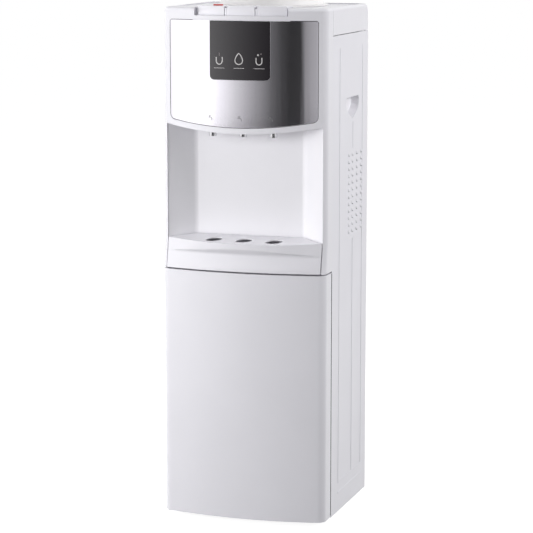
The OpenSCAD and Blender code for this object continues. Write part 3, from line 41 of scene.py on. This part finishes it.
# Sizes shared with the solids, in metres
HEAD_BOW_R = 0.408
FRONT_Y = -0.150
BOW_Y = FRONT_Y + HEAD_BOW_R
WINDOW_DEPTH = 0.0003
FACE_DEPTH = 0.0002
SHEET_BACK_Y = 0.1279
SIDE_FRONT_Y = -0.08376

# Two faces that meet at more than this show a sharp or rounded edge, in degrees
CREASE_ANGLE = 38
FLAT_ANGLE = 0.3


# Materials

def new_material(name):
    """A material, its node tree and its Principled shader."""
    material = bpy.data.materials.new(name)
    material.use_nodes = True
    tree = material.node_tree
    return material, tree, tree.nodes["Principled BSDF"]


def object_coordinates(tree, stretch=(1, 1, 1)):
    """The object's own coordinates, scaled along each axis."""
    coordinate = tree.nodes.new("ShaderNodeTexCoord")
    mapping = tree.nodes.new("ShaderNodeMapping")
    mapping.inputs["Scale"].default_value = stretch
    tree.links.new(coordinate.outputs["Object"], mapping.inputs["Vector"])
    return mapping.outputs["Vector"]


def noise(tree, vector, scale, detail=3):
    node = tree.nodes.new("ShaderNodeTexNoise")
    node.inputs["Scale"].default_value = scale
    node.inputs["Detail"].default_value = detail
    tree.links.new(vector, node.inputs["Vector"])
    return node.outputs["Fac"]


def ranged(tree, value, low, high, from_low=0.3, from_high=0.7):
    """The value moved from one range to another, and held within it."""
    node = tree.nodes.new("ShaderNodeMapRange")
    node.inputs["From Min"].default_value = from_low
    node.inputs["From Max"].default_value = from_high
    node.inputs["To Min"].default_value = low
    node.inputs["To Max"].default_value = high
    tree.links.new(value, node.inputs["Value"])
    return node.outputs["Result"]


def blended(tree, factor, first, second):
    """A colour between the two, by the factor."""
    node = tree.nodes.new("ShaderNodeMix")
    node.data_type = "RGBA"
    node.inputs[6].default_value = (*first, 1)
    node.inputs[7].default_value = (*second, 1)
    tree.links.new(factor, node.inputs[0])
    return node.outputs[2]


def surface(name, colour, rough, metal=0.0, specular=0.5, tone=0.015, tone_scale=7.0,
            grain=0.03, grain_scale=900.0, depth=0.0001, swing=0.03, stretch=(1, 1, 1),
            coat=0.0, anisotropy=0.0):
    """A finish with slow tone changes, a fine grain in its surface and an uneven gloss."""
    material, tree, shader = new_material(name)
    plain = object_coordinates(tree)
    worked = object_coordinates(tree, stretch)
    slow = ranged(tree, noise(tree, plain, tone_scale), 0, 1)
    darker = [c * (1 - tone) for c in colour]
    lighter = [min(c * (1 + tone), 1) for c in colour]
    tree.links.new(blended(tree, slow, darker, lighter), shader.inputs["Base Color"])
    fine_grain = noise(tree, worked, grain_scale, detail=4)
    tree.links.new(ranged(tree, fine_grain, rough - swing, rough + swing),
                   shader.inputs["Roughness"])
    bump = tree.nodes.new("ShaderNodeBump")
    bump.inputs["Strength"].default_value = grain
    bump.inputs["Distance"].default_value = depth
    tree.links.new(fine_grain, bump.inputs["Height"])
    tree.links.new(bump.outputs["Normal"], shader.inputs["Normal"])
    shader.inputs["Metallic"].default_value = metal
    shader.inputs["Specular IOR Level"].default_value = specular
    shader.inputs["Coat Weight"].default_value = coat
    if coat:
        shader.inputs["Coat Roughness"].default_value = 0.03
    if anisotropy:
        shader.inputs["Anisotropic"].default_value = anisotropy
        shader.inputs["Anisotropic Rotation"].default_value = 0.25
        tangent = tree.nodes.new("ShaderNodeTangent")
        tangent.direction_type = "RADIAL"
        tangent.axis = "Z"
        tree.links.new(tangent.outputs["Tangent"], shader.inputs["Tangent"])
    return material


MATERIALS = {
    "white_plastic": surface("white_plastic", (0.80, 0.79, 0.835), 0.30, grain=0.02),
    # The liner's white is a lighter copy of the housing's: painted light that brightens the
    # alcove's back wall
    "liner_plastic": surface("liner_plastic", (0.86, 0.85, 0.887), 0.34, grain=0.03),
    "seat_plastic": surface("seat_plastic", (0.84, 0.825, 0.825), 0.34, grain=0.03),
    "face_steel": surface("face_steel", (0.705, 0.685, 0.74), 0.062, metal=1, tone=0.02,
                          grain=0.08, grain_scale=60, depth=0.00005, swing=0.015,
                          stretch=(0.16, 0.16, 60), anisotropy=1.0),
    "dark_panel": surface("dark_panel", (0.012, 0.009, 0.013), 0.10, specular=0.35, tone=0.2,
                          grain=0.01, grain_scale=300, swing=0.02, coat=0.75),
    "lock_red": surface("lock_red", (0.62, 0.05, 0.05), 0.36),
    "bright_metal": surface("bright_metal", (0.66, 0.66, 0.68), 0.06, metal=1, swing=0.02,
                            grain=0.03, grain_scale=400),
    "plain_steel": surface("plain_steel", (0.50, 0.50, 0.52), 0.36, metal=1, tone=0.06,
                           grain=0.06, grain_scale=500, stretch=(1, 1, 0.2)),
    "side_paint": surface("side_paint", (0.795, 0.785, 0.835), 0.33, grain=0.06,
                          grain_scale=480, depth=0.00015),
    "grey_sheet": surface("grey_sheet", (0.42, 0.43, 0.45), 0.46, metal=0.7, tone=0.10,
                          tone_scale=60, grain=0.05),
    "foam": surface("foam", (0.78, 0.75, 0.66), 0.85, tone=0.06, tone_scale=90, grain=0.5,
                    grain_scale=420, depth=0.0004, specular=0.2),
    "rubber_black": surface("rubber_black", (0.030, 0.030, 0.031), 0.72, tone=0.15, grain=0.2,
                            grain_scale=700, specular=0.35),
    "tank_steel": surface("tank_steel", (0.58, 0.58, 0.60), 0.26, metal=1, tone=0.03,
                          grain=0.06, grain_scale=60, stretch=(0.3, 0.3, 30)),
    "copper": surface("copper", (0.72, 0.38, 0.24), 0.30, metal=1, tone=0.12, tone_scale=50,
                      grain=0.05),
    "black_paint": surface("black_paint", (0.030, 0.030, 0.032), 0.34, tone=0.12, grain=0.10,
                           grain_scale=420),
    "hose_silicone": surface("hose_silicone", (0.66, 0.67, 0.66), 0.42, tone=0.04, grain=0.05),
    "tap_plastic": surface("tap_plastic", (0.80, 0.78, 0.72), 0.36, grain=0.05),
    "board_green": surface("board_green", (0.04, 0.20, 0.09), 0.40, tone=0.2, tone_scale=160),
    "black_plastic": surface("black_plastic", (0.040, 0.040, 0.045), 0.48, tone=0.1,
                             grain=0.25, grain_scale=600, specular=0.4),
    "rocker_red": surface("rocker_red", (0.50, 0.04, 0.04), 0.30, grain=0.03),
    "cap_blue": surface("cap_blue", (0.06, 0.22, 0.52), 0.40, grain=0.05),
    "magnet_black": surface("magnet_black", (0.040, 0.040, 0.045), 0.66, grain=0.2),
    "heater_steel": surface("heater_steel", (0.34, 0.33, 0.32), 0.42, metal=1, tone=0.2,
                            tone_scale=80, grain=0.1),
}
PRINT_BRIGHT = surface("print_bright", (0.62, 0.60, 0.60), 0.45, tone=0.04, grain_scale=2500)
PRINT_DIM = surface("print_dim", (0.17, 0.15, 0.155), 0.5, tone=0.05, grain_scale=2500)
PRINT_CAPTION = surface("print_caption", (0.46, 0.44, 0.45), 0.5, tone=0.04, grain_scale=2500)
PRINT_FAINT = surface("print_faint", (0.15, 0.15, 0.155), 0.5, tone=0.04, grain_scale=2500)

slot_of = {}
for part in frame["record"]["subparts"]:
    slot_of[part["node"]] = part["material_slot"]
for name, piece in nodes.items():
    for place in piece.material_slots:
        place.material = MATERIALS[slot_of[name]]


# Edges of the solids

def geometry_group(name):
    """A node group with one geometry socket in and one out, and its two end nodes."""
    group = bpy.data.node_groups.new(name, "GeometryNodeTree")
    for way in ("INPUT", "OUTPUT"):
        group.interface.new_socket("Geometry", in_out=way, socket_type="NodeSocketGeometry")
    return group, group.nodes.new("NodeGroupInput"), group.nodes.new("NodeGroupOutput")


def chain(group, *steps):
    """Joins the geometry sockets of the steps one after the other."""
    for before, after in zip(steps, steps[1:]):
        group.links.new(before.outputs["Geometry"], after.inputs["Geometry"])


def welded_group():
    """Joins the faces at their shared corners and drops their stored normals."""
    group, start, end = geometry_group("welded")
    remove = group.nodes.new("GeometryNodeRemoveAttribute")
    remove.inputs["Name"].default_value = "custom_normal"
    merge = group.nodes.new("GeometryNodeMergeByDistance")
    merge.inputs["Distance"].default_value = 2e-6
    chain(group, start, remove, merge, end)
    return group


def creased_group():
    """Smooth faces, with sharp edges where two faces meet at more than the crease angle."""
    group, start, end = geometry_group("creased")
    faces = group.nodes.new("GeometryNodeSetShadeSmooth")
    edges = group.nodes.new("GeometryNodeSetShadeSmooth")
    edges.domain = "EDGE"
    creases = group.nodes.new("GeometryNodeSetShadeSmooth")
    creases.domain = "EDGE"
    creases.inputs["Shade Smooth"].default_value = False
    angle = group.nodes.new("GeometryNodeInputMeshEdgeAngle")
    above = group.nodes.new("FunctionNodeCompare")
    above.data_type = "FLOAT"
    above.operation = "GREATER_THAN"
    above.inputs["B"].default_value = math.radians(CREASE_ANGLE)
    group.links.new(angle.outputs["Unsigned Angle"], above.inputs["A"])
    group.links.new(above.outputs["Result"], creases.inputs["Selection"])
    chain(group, start, faces, edges, creases, end)
    return group


WELDED = welded_group()
CREASED = creased_group()


def add_group(piece, group):
    modifier = piece.modifiers.new(group.name, "NODES")
    modifier.node_group = group


def rounded_edges(piece, width):
    """Welds the faces, rounds the edges to the width and shades the rest smooth."""
    add_group(piece, WELDED)
    flat = piece.modifiers.new("flat_faces", "DECIMATE")
    flat.decimate_type = "DISSOLVE"
    flat.angle_limit = math.radians(FLAT_ANGLE)
    if width:
        bevel = piece.modifiers.new("rounded", "BEVEL")
        bevel.limit_method = "ANGLE"
        bevel.angle_limit = math.radians(CREASE_ANGLE)
        bevel.width = width
        bevel.segments = 2
    add_group(piece, CREASED)
    weighted = piece.modifiers.new("weighted", "WEIGHTED_NORMAL")
    weighted.keep_sharp = True


# Width of each piece's rounded edges, in metres; pieces that aren't listed keep sharp edges
EDGES = {
    "front_frame": 0.0006, "alcove_liner": 0.0006, "face_panel": 0.0003,
    "indicator_panel": 0.0003, "hot_button": 0.0005, "room_button": 0.0005,
    "cold_button": 0.0005, "child_lock": 0.0004, "drip_tray": 0.0006, "drip_grille": 0.0005,
    "door_skin": 0.0006, "side_panel_left": 0.0005, "side_panel_right": 0.0005,
    "side_grips": 0.0006, "top_cover": 0.0008, "bottle_seat": 0.0006,
    "rear_panel": 0.0003, "door_liner": 0.0006, "cabinet_liner": 0.0006,
    "hinge_brackets": 0.0004, "switch_bodies": 0.0005, "hot_rocker": 0.0004,
    "cold_rocker": 0.0004, "drain_cap": 0.0005, "cord_gland": 0.0004,
}
for name, piece in nodes.items():
    rounded_edges(piece, EDGES.get(name, 0))


def new_piece(name, mesh, material):
    """Turns the edited mesh into an object with the material."""
    data = bpy.data.meshes.new(name)
    mesh.to_mesh(data)
    mesh.free()
    piece = bpy.data.objects.new(name, data)
    bpy.context.collection.objects.link(piece)
    data.materials.append(material)
    return piece


# Printed marks. Their outlines are in millimetres, as x and z on the head's front

MARK_Z0, MARK_Z1 = 844.2, 856.8
MARK_LINE = 1.7
CAPTION_Z = 837.5
TAP_MARK_Z = 748.6


def on_bow(x, z, depth):
    """The point of the head's bowed front at x and z, this far behind its surface."""
    radius = HEAD_BOW_R - depth
    return Vector((x, BOW_Y - math.sqrt(radius * radius - x * x), z))


def arc(cx, cz, r, start, end, count):
    """Points round a centre, in degrees from the right, in millimetres."""
    turns = [math.radians(start + (end - start) * i / count) for i in range(count + 1)]
    return [(cx + r * math.cos(a), cz + r * math.sin(a)) for a in turns]


def ribbon(name, runs, width, depth, height, material):
    """Lines on the bowed front. Each run is a list of points, and whether it is closed.

    The width is in millimetres. The depth is that of the line's foot behind the front, and the
    height is its thickness towards the front, or to the back where it is negative, in metres.
    """
    mesh = bmesh.new()
    for points, closed in runs:
        flat = [Vector(p) / 1000 for p in points]
        count = len(flat)
        rows = []
        for i, p in enumerate(flat):
            before = flat[(i - 1) % count] if closed or i else p
            after = flat[(i + 1) % count] if closed or i < count - 1 else p
            along = (after - before).normalized()
            side = Vector((-along.y, along.x)) * width / 2000
            row = []
            for way, deep in ((1, depth), (-1, depth), (-1, depth - height), (1, depth - height)):
                q = p + side * way
                row.append(mesh.verts.new(on_bow(q.x, q.y, deep)))
            rows.append(row)
        steps = range(count if closed else count - 1)
        for i in steps:
            a, b = rows[i], rows[(i + 1) % count]
            for k in range(4):
                mesh.faces.new((a[k], a[(k + 1) % 4], b[(k + 1) % 4], b[k]))
        if not closed:
            mesh.faces.new(rows[0])
            mesh.faces.new(list(reversed(rows[-1])))
    bmesh.ops.recalc_face_normals(mesh, faces=mesh.faces)
    piece = new_piece(name, mesh, material)
    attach(piece, "housing")


def cup(cx, z0, z1, half):
    """A cup's outline, open at the top: two upright sides on a round bottom."""
    return [(cx - half, z1)] + arc(cx, z0 + half, half, 180, 360, 14) + [(cx + half, z1)]


def drop(cx, z0, z1, r):
    """A drop's outline: a circle's lower part, drawn to a point at the top."""
    cz = z0 + r
    lower = arc(cx, cz, r, 150, 390, 24)
    right = [(cx + r * 0.72, cz + r * 0.88), (cx + r * 0.32, cz + r * 1.45)]
    left = [(2 * cx - x, z) for x, z in reversed(right)]
    return lower + right + [(cx, z1)] + left


def star(cx, cz, r):
    """Three short crossed strokes, as in a frost mark."""
    strokes = []
    for turn in (90, 30, 150):
        a = math.radians(turn)
        dx, dz = r * math.cos(a), r * math.sin(a)
        strokes.append(([(cx - dx, cz - dz), (cx + dx, cz + dz)], False))
    return strokes


def line(x0, x1, z):
    """A level line, in short steps that follow the bow."""
    count = 12
    return [([(x0 + (x1 - x0) * i / count, z) for i in range(count + 1)], False)]


def window_mark(name, runs, width, material):
    """A mark printed on the dark panel."""
    ribbon(name, runs, width, WINDOW_DEPTH, 0.00008, material)


window_mark("mark_hot_cup", [(cup(-38.3, MARK_Z0, MARK_Z1, 5.9), False)],
            MARK_LINE, PRINT_BRIGHT)
window_mark("mark_drop", [(drop(-0.8, 844.4, 864.3, 7.2), True)], 1.6, PRINT_BRIGHT)
window_mark("mark_cold_cup", [(cup(36.5, MARK_Z0, MARK_Z1, 5.3), False)],
            MARK_LINE, PRINT_BRIGHT)
window_mark("mark_frost", star(34.8, 861.5, 1.9), 0.9, PRINT_BRIGHT)
steam = [(-38.3 + 0.8 * math.sin(t * 2.1), 859 + t) for t in range(7)]
window_mark("mark_steam", [(steam, False)], 1.1, PRINT_DIM)
window_mark("mark_frost_small", star(40.2, 863.4, 1.5), 0.8, PRINT_DIM)
for name, x0, x1 in (("hot", -49, -28.5), ("room", -10.5, 9), ("cold", 26.5, 46.7)):
    window_mark("caption_bar_" + name, line(x0, x1, CAPTION_Z), 1.0, PRINT_CAPTION)

for name, cx in (("hot", -57.0), ("room", 0.0), ("cold", 57.0)):
    z = TAP_MARK_Z
    body = [(cx - 3.6, z), (cx + 2.4, z), (cx + 3.6, z - 1.4), (cx + 3.6, z - 5.2)]
    stem = [(cx - 0.6, z), (cx - 0.6, z + 2.2)]
    bar = [(cx - 2.8, z + 2.6), (cx + 1.6, z + 2.6)]
    ribbon("face_mark_" + name, [(body, False), (stem, False), (bar, False)], 1.0,
           FACE_DEPTH, 0.00006, PRINT_FAINT)


# Painted shade: black strips stand for the shadow in the joints round the steel face and behind
# the door. The face's sizes are in millimetres; its strip stops short of the buttons, which dip
# over its upper edge

FACE_HALF = 139.5
FACE_TOP = 921.5
FACE_BOTTOM = 731.0
FACE_DROP = 12.8
FACE_LOW_R = 8
FACE_HIGH_R = 3
FACE_GAP_SHADE_END = 92
FACE_EDGE_R = (FACE_HALF ** 2 + FACE_DROP ** 2) / (2 * FACE_DROP)


def rise(x):
    """How far the face's bowed lower edge has risen at x, in millimetres."""
    return FACE_EDGE_R - math.sqrt(FACE_EDGE_R ** 2 - x * x)


def face_edge(grow):
    """The outline of the steel face, grown by this much and open under the buttons."""
    half = FACE_HALF + grow
    top = FACE_TOP + grow
    low = FACE_BOTTOM - grow
    r = FACE_LOW_R + grow
    corner = []
    for i in range(7):
        a = math.radians(180 + 15 * i)
        x = half - r - r * math.cos(a)
        z = low + r + r * math.sin(a) + rise(min(x, FACE_HALF))
        corner.append((-x, z))
    bottom = [(-x, low + rise(x)) for x in range(125, -126, -10)]
    right = [(-x, z) for x, z in reversed(corner)]
    upper_left = [(-FACE_GAP_SHADE_END, top), (-120, top), (FACE_HIGH_R - half, top),
                  (-half, top - FACE_HIGH_R)]
    upper_right = [(-x, z) for x, z in reversed(upper_left)]
    return upper_left + corner + bottom + right + upper_right


# A black ribbon round the steel face, painted shade for the shadow in its joint
ribbon("face_gap_shade", [(face_edge(0.5), False)], 0.9, 0.0005, -0.0006, MATERIALS["rubber_black"])


def gap_shade_strip(name, low, high):
    """A straight black strip between two corners, painted shade in a joint."""
    mesh = bmesh.new()
    bmesh.ops.create_cube(mesh, size=1)
    for v in mesh.verts:
        v.co = [a + (c + 0.5) * (b - a) for a, b, c in zip(low, high, v.co)]
    piece = new_piece(name, mesh, MATERIALS["rubber_black"])
    rounded_edges(piece, 0.0003)
    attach(piece, "housing")


# Black strips in the gaps between the door and the side panels: painted shade for the shadow
# there
DOOR_GAP_SHADE_Y = -0.0850
DOOR_GAP_SHADE_Z = (0.012, 0.465)
for name, x0, x1 in (("door_seal_right", 0.1505, 0.1547), ("door_seal_left", -0.1547, -0.1505)):
    gap_shade_strip(name, (x0, DOOR_GAP_SHADE_Y, DOOR_GAP_SHADE_Z[0]), (x1, SIDE_FRONT_Y, DOOR_GAP_SHADE_Z[1]))


# Screws of the rear panel

def screw(name, place, facing, head_r, height):
    """A pan head screw with a cross recess, its head's underside at the place."""
    mesh = bmesh.new()
    profile = [(head_r, 0), (head_r, height * 0.35), (head_r * 0.94, height * 0.62),
               (head_r * 0.76, height * 0.88), (head_r * 0.5, height), (head_r * 0.34, height)]
    sides = 28
    rings = []
    for r, h in profile:
        rings.append([mesh.verts.new((r * math.cos(2 * math.pi * i / sides),
                                      r * math.sin(2 * math.pi * i / sides), h))
                      for i in range(sides)])
    for low, high in zip(rings, rings[1:]):
        for i in range(sides):
            k = (i + 1) % sides
            mesh.faces.new((low[i], low[k], high[k], high[i]))
    mesh.faces.new(list(reversed(rings[0])))
    bottom = mesh.verts.new((0, 0, height * 0.25))
    inner = []
    for i in range(sides):
        turn = 2 * math.pi * i / sides
        near = abs(((turn + math.pi / 4) % (math.pi / 2)) - math.pi / 4)
        r = head_r * (0.30 if near < 0.3 else 0.11)
        inner.append(mesh.verts.new((r * math.cos(turn), r * math.sin(turn), height * 0.96)))
    for i in range(sides):
        k = (i + 1) % sides
        mesh.faces.new((rings[-1][i], rings[-1][k], inner[k], inner[i]))
        mesh.faces.new((inner[i], inner[k], bottom))
    bmesh.ops.recalc_face_normals(mesh, faces=mesh.faces)
    piece = new_piece(name, mesh, MATERIALS["plain_steel"])
    piece.rotation_mode = "QUATERNION"
    piece.rotation_quaternion = Vector(facing).to_track_quat("Z", "Y")
    piece.location = place
    add_group(piece, CREASED)
    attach(piece, "housing")


SCREW_X = 0.147
SCREW_R = 0.0034
SCREW_H = 0.0020
screw_places = [(x, z) for z in (0.262, 0.470, 0.680, 0.872) for x in (-SCREW_X, SCREW_X)]
for i, (x, z) in enumerate(screw_places):
    screw("rear_screw_%d" % (i + 1), (x, SHEET_BACK_Y, z), (0, 1, 0), SCREW_R, SCREW_H)


# Floor, backdrop and reflections

def only_in_gloss(piece):
    """Leaves the object to glossy rays alone."""
    piece.visible_camera = False
    piece.visible_diffuse = False
    piece.visible_transmission = False
    piece.visible_volume_scatter = False
    piece.visible_shadow = False


def seen_directly(tree):
    """One for camera, glossy and transmission rays, nought for the rest."""
    path = tree.nodes.new("ShaderNodeLightPath")
    first = tree.nodes.new("ShaderNodeMath")
    first.operation = "MAXIMUM"
    second = tree.nodes.new("ShaderNodeMath")
    second.operation = "MAXIMUM"
    tree.links.new(path.outputs["Is Camera Ray"], first.inputs[0])
    tree.links.new(path.outputs["Is Glossy Ray"], first.inputs[1])
    tree.links.new(first.outputs[0], second.inputs[0])
    tree.links.new(path.outputs["Is Transmission Ray"], second.inputs[1])
    return second.outputs[0]


def make_floor():
    """A pale floor that takes the object's shadow, and gives it little light back."""
    bpy.ops.mesh.primitive_circle_add(vertices=96, radius=40, fill_type="NGON")
    floor = bpy.context.object
    floor.name = "floor"
    material = bpy.data.materials.new("pale_floor")
    material.use_nodes = True
    tree = material.node_tree
    tree.nodes.clear()
    output = tree.nodes.new("ShaderNodeOutputMaterial")
    shown = tree.nodes.new("ShaderNodeMixShader")
    shown.inputs[0].default_value = 0.35
    glow = tree.nodes.new("ShaderNodeEmission")
    glow.inputs["Strength"].default_value = 1.42
    pale = tree.nodes.new("ShaderNodeBsdfDiffuse")
    pale.inputs["Color"].default_value = (0.9, 0.9, 0.9, 1)
    grey = tree.nodes.new("ShaderNodeBsdfDiffuse")
    grey.inputs["Color"].default_value = (0.04, 0.04, 0.042, 1)
    both = tree.nodes.new("ShaderNodeMixShader")
    tree.links.new(glow.outputs[0], shown.inputs[1])
    tree.links.new(pale.outputs[0], shown.inputs[2])
    tree.links.new(seen_directly(tree), both.inputs[0])
    tree.links.new(grey.outputs[0], both.inputs[1])
    tree.links.new(shown.outputs[0], both.inputs[2])
    tree.links.new(both.outputs[0], output.inputs["Surface"])
    floor.data.materials.append(material)


def make_world():
    """A white backdrop where it is seen directly, and a weak even light otherwise."""
    world = bpy.data.worlds.new("studio")
    bpy.context.scene.world = world
    world.use_nodes = True
    tree = world.node_tree
    tree.nodes.clear()
    output = tree.nodes.new("ShaderNodeOutputWorld")
    ambient = tree.nodes.new("ShaderNodeBackground")
    ambient.inputs["Color"].default_value = (0.97, 0.98, 1.0, 1)
    ambient.inputs["Strength"].default_value = 0.25
    white = tree.nodes.new("ShaderNodeBackground")
    white.inputs["Color"].default_value = (1, 1, 1, 1)
    white.inputs["Strength"].default_value = 1.0
    both = tree.nodes.new("ShaderNodeMixShader")
    tree.links.new(seen_directly(tree), both.inputs[0])
    tree.links.new(ambient.outputs[0], both.inputs[1])
    tree.links.new(white.outputs[0], both.inputs[2])
    tree.links.new(both.outputs[0], output.inputs["Surface"])


def curved_sheet(name, radius, start, sweep, low, heights, material):
    """An upright sheet round the object, from one azimuth on, with a height for each column."""
    mesh = bmesh.new()
    columns = []
    for i, height in enumerate(heights):
        a = math.radians(start + sweep * i / (len(heights) - 1))
        x, y = radius * math.sin(a), -radius * math.cos(a)
        columns.append((mesh.verts.new((x, y, low)), mesh.verts.new((x, y, low + height))))
    for a, b in zip(columns, columns[1:]):
        mesh.faces.new((a[0], b[0], b[1], a[1]))
    sheet = new_piece(name, mesh, material)
    only_in_gloss(sheet)


# Levels of the card by azimuth in degrees, 0 being straight before the object
CARD_LEVELS = [(-90, 1.2), (-62, 1.3), (-50, 1.8), (-36, 1.8), (-31, 1.45), (-26, 1.19),
               (-20, 0.88), (-14.6, 0.65), (-9, 0.44), (-3, 0.26), (0.5, 0.16), (5, 0.08),
               (10, 0.042), (15.5, 0.05), (18, 0.36), (22.5, 0.50), (45, 0.9), (80, 1.0)]


def make_card():
    """A card that only gloss sees, bright at the left of the object and dark at its right."""
    material = bpy.data.materials.new("card_glow")
    material.use_nodes = True
    tree = material.node_tree
    tree.nodes.clear()
    output = tree.nodes.new("ShaderNodeOutputMaterial")
    glow = tree.nodes.new("ShaderNodeEmission")
    ramp = tree.nodes.new("ShaderNodeValToRGB")
    ramp.color_ramp.interpolation = "LINEAR"
    while len(ramp.color_ramp.elements) < len(CARD_LEVELS):
        ramp.color_ramp.elements.new(0.5)
    for element, (degrees, level) in zip(ramp.color_ramp.elements, CARD_LEVELS):
        element.position = (degrees + 90) / 180
        element.color = (level, level, level, 1)
    coordinate = tree.nodes.new("ShaderNodeTexCoord")
    parts = tree.nodes.new("ShaderNodeSeparateXYZ")
    away = tree.nodes.new("ShaderNodeMath")
    away.operation = "MULTIPLY"
    away.inputs[1].default_value = -1
    angle = tree.nodes.new("ShaderNodeMath")
    angle.operation = "ARCTAN2"
    tree.links.new(coordinate.outputs["Object"], parts.inputs[0])
    tree.links.new(parts.outputs["Y"], away.inputs[0])
    tree.links.new(parts.outputs["X"], angle.inputs[0])
    tree.links.new(away.outputs[0], angle.inputs[1])
    tree.links.new(ranged(tree, angle.outputs[0], 0, 1, -math.pi / 2, math.pi / 2),
                   ramp.inputs["Fac"])
    tree.links.new(ramp.outputs["Color"], glow.inputs["Color"])
    tree.links.new(glow.outputs[0], output.inputs["Surface"])
    curved_sheet("reflection_card", 3.0, -100, 180, 0.02, [3.58] * 91, material)


def make_dark_band():
    """A low dark strip before the card, which the spouts' tips show in their middle."""
    heights = [0.042 * min(0.02 + i / 24, 1) for i in range(63)]
    curved_sheet("dark_band", 2.9, -60, 124, 0.42, heights, MATERIALS["black_plastic"])


LAMP_AIM = Vector((0, 0, 0.55))


def area_lamp(name, azimuth, height, distance, size, level):
    """A soft lamp. The level is what a white wall facing it at the object shows.

    The azimuth is in degrees, 0 being straight before the object and 90 at its right.
    """
    a = math.radians(azimuth)
    place = Vector((distance * math.sin(a), -distance * math.cos(a), height))
    aim = LAMP_AIM - place
    lamp = bpy.data.lights.new(name, "AREA")
    lamp.shape = "SQUARE"
    lamp.size = size
    lamp.energy = math.pi ** 2 * aim.length_squared * level
    piece = bpy.data.objects.new(name, lamp)
    bpy.context.collection.objects.link(piece)
    piece.location = place
    piece.rotation_mode = "QUATERNION"
    piece.rotation_quaternion = aim.to_track_quat("-Z", "Y")
    piece.visible_glossy = False


make_floor()
make_world()
make_card()
make_dark_band()
LAMPS = [
    # name, azimuth, height, distance, size, level
    ("key", -60, 0.7, 2.2, 1.3, 0.362),
    ("front_left", -35, 0.7, 2.2, 1.3, 0.465),
    ("front", -10, 1.0, 2.2, 1.3, 0.145),
    ("side", 95, 1.4, 2.2, 1.3, 0.68),
    ("rear", 190, 1.3, 2.2, 1.3, 0.36),
    ("rear_left", 245, 1.2, 2.2, 1.3, 0.22),
    ("above", 0, 2.9, 0.25, 1.6, 0.20),
]
for lamp in LAMPS:
    area_lamp(*lamp)


# Camera

def make_camera(place, yaw, pitch, lens):
    """A camera at the place, turned left by the yaw and down by the pitch, in degrees."""
    data = bpy.data.cameras.new("camera")
    data.lens = lens
    data.sensor_width = 36
    data.clip_end = 200
    camera = bpy.data.objects.new("camera", data)
    bpy.context.collection.objects.link(camera)
    camera.location = place
    camera.rotation_euler = (math.radians(90 - pitch), 0, math.radians(yaw))
    bpy.context.scene.camera = camera


make_camera((1.24470, -3.79966, 1.10518), 18.1079, 9.204, 146.09)

bpy.context.scene.view_settings.view_transform = "Standard"
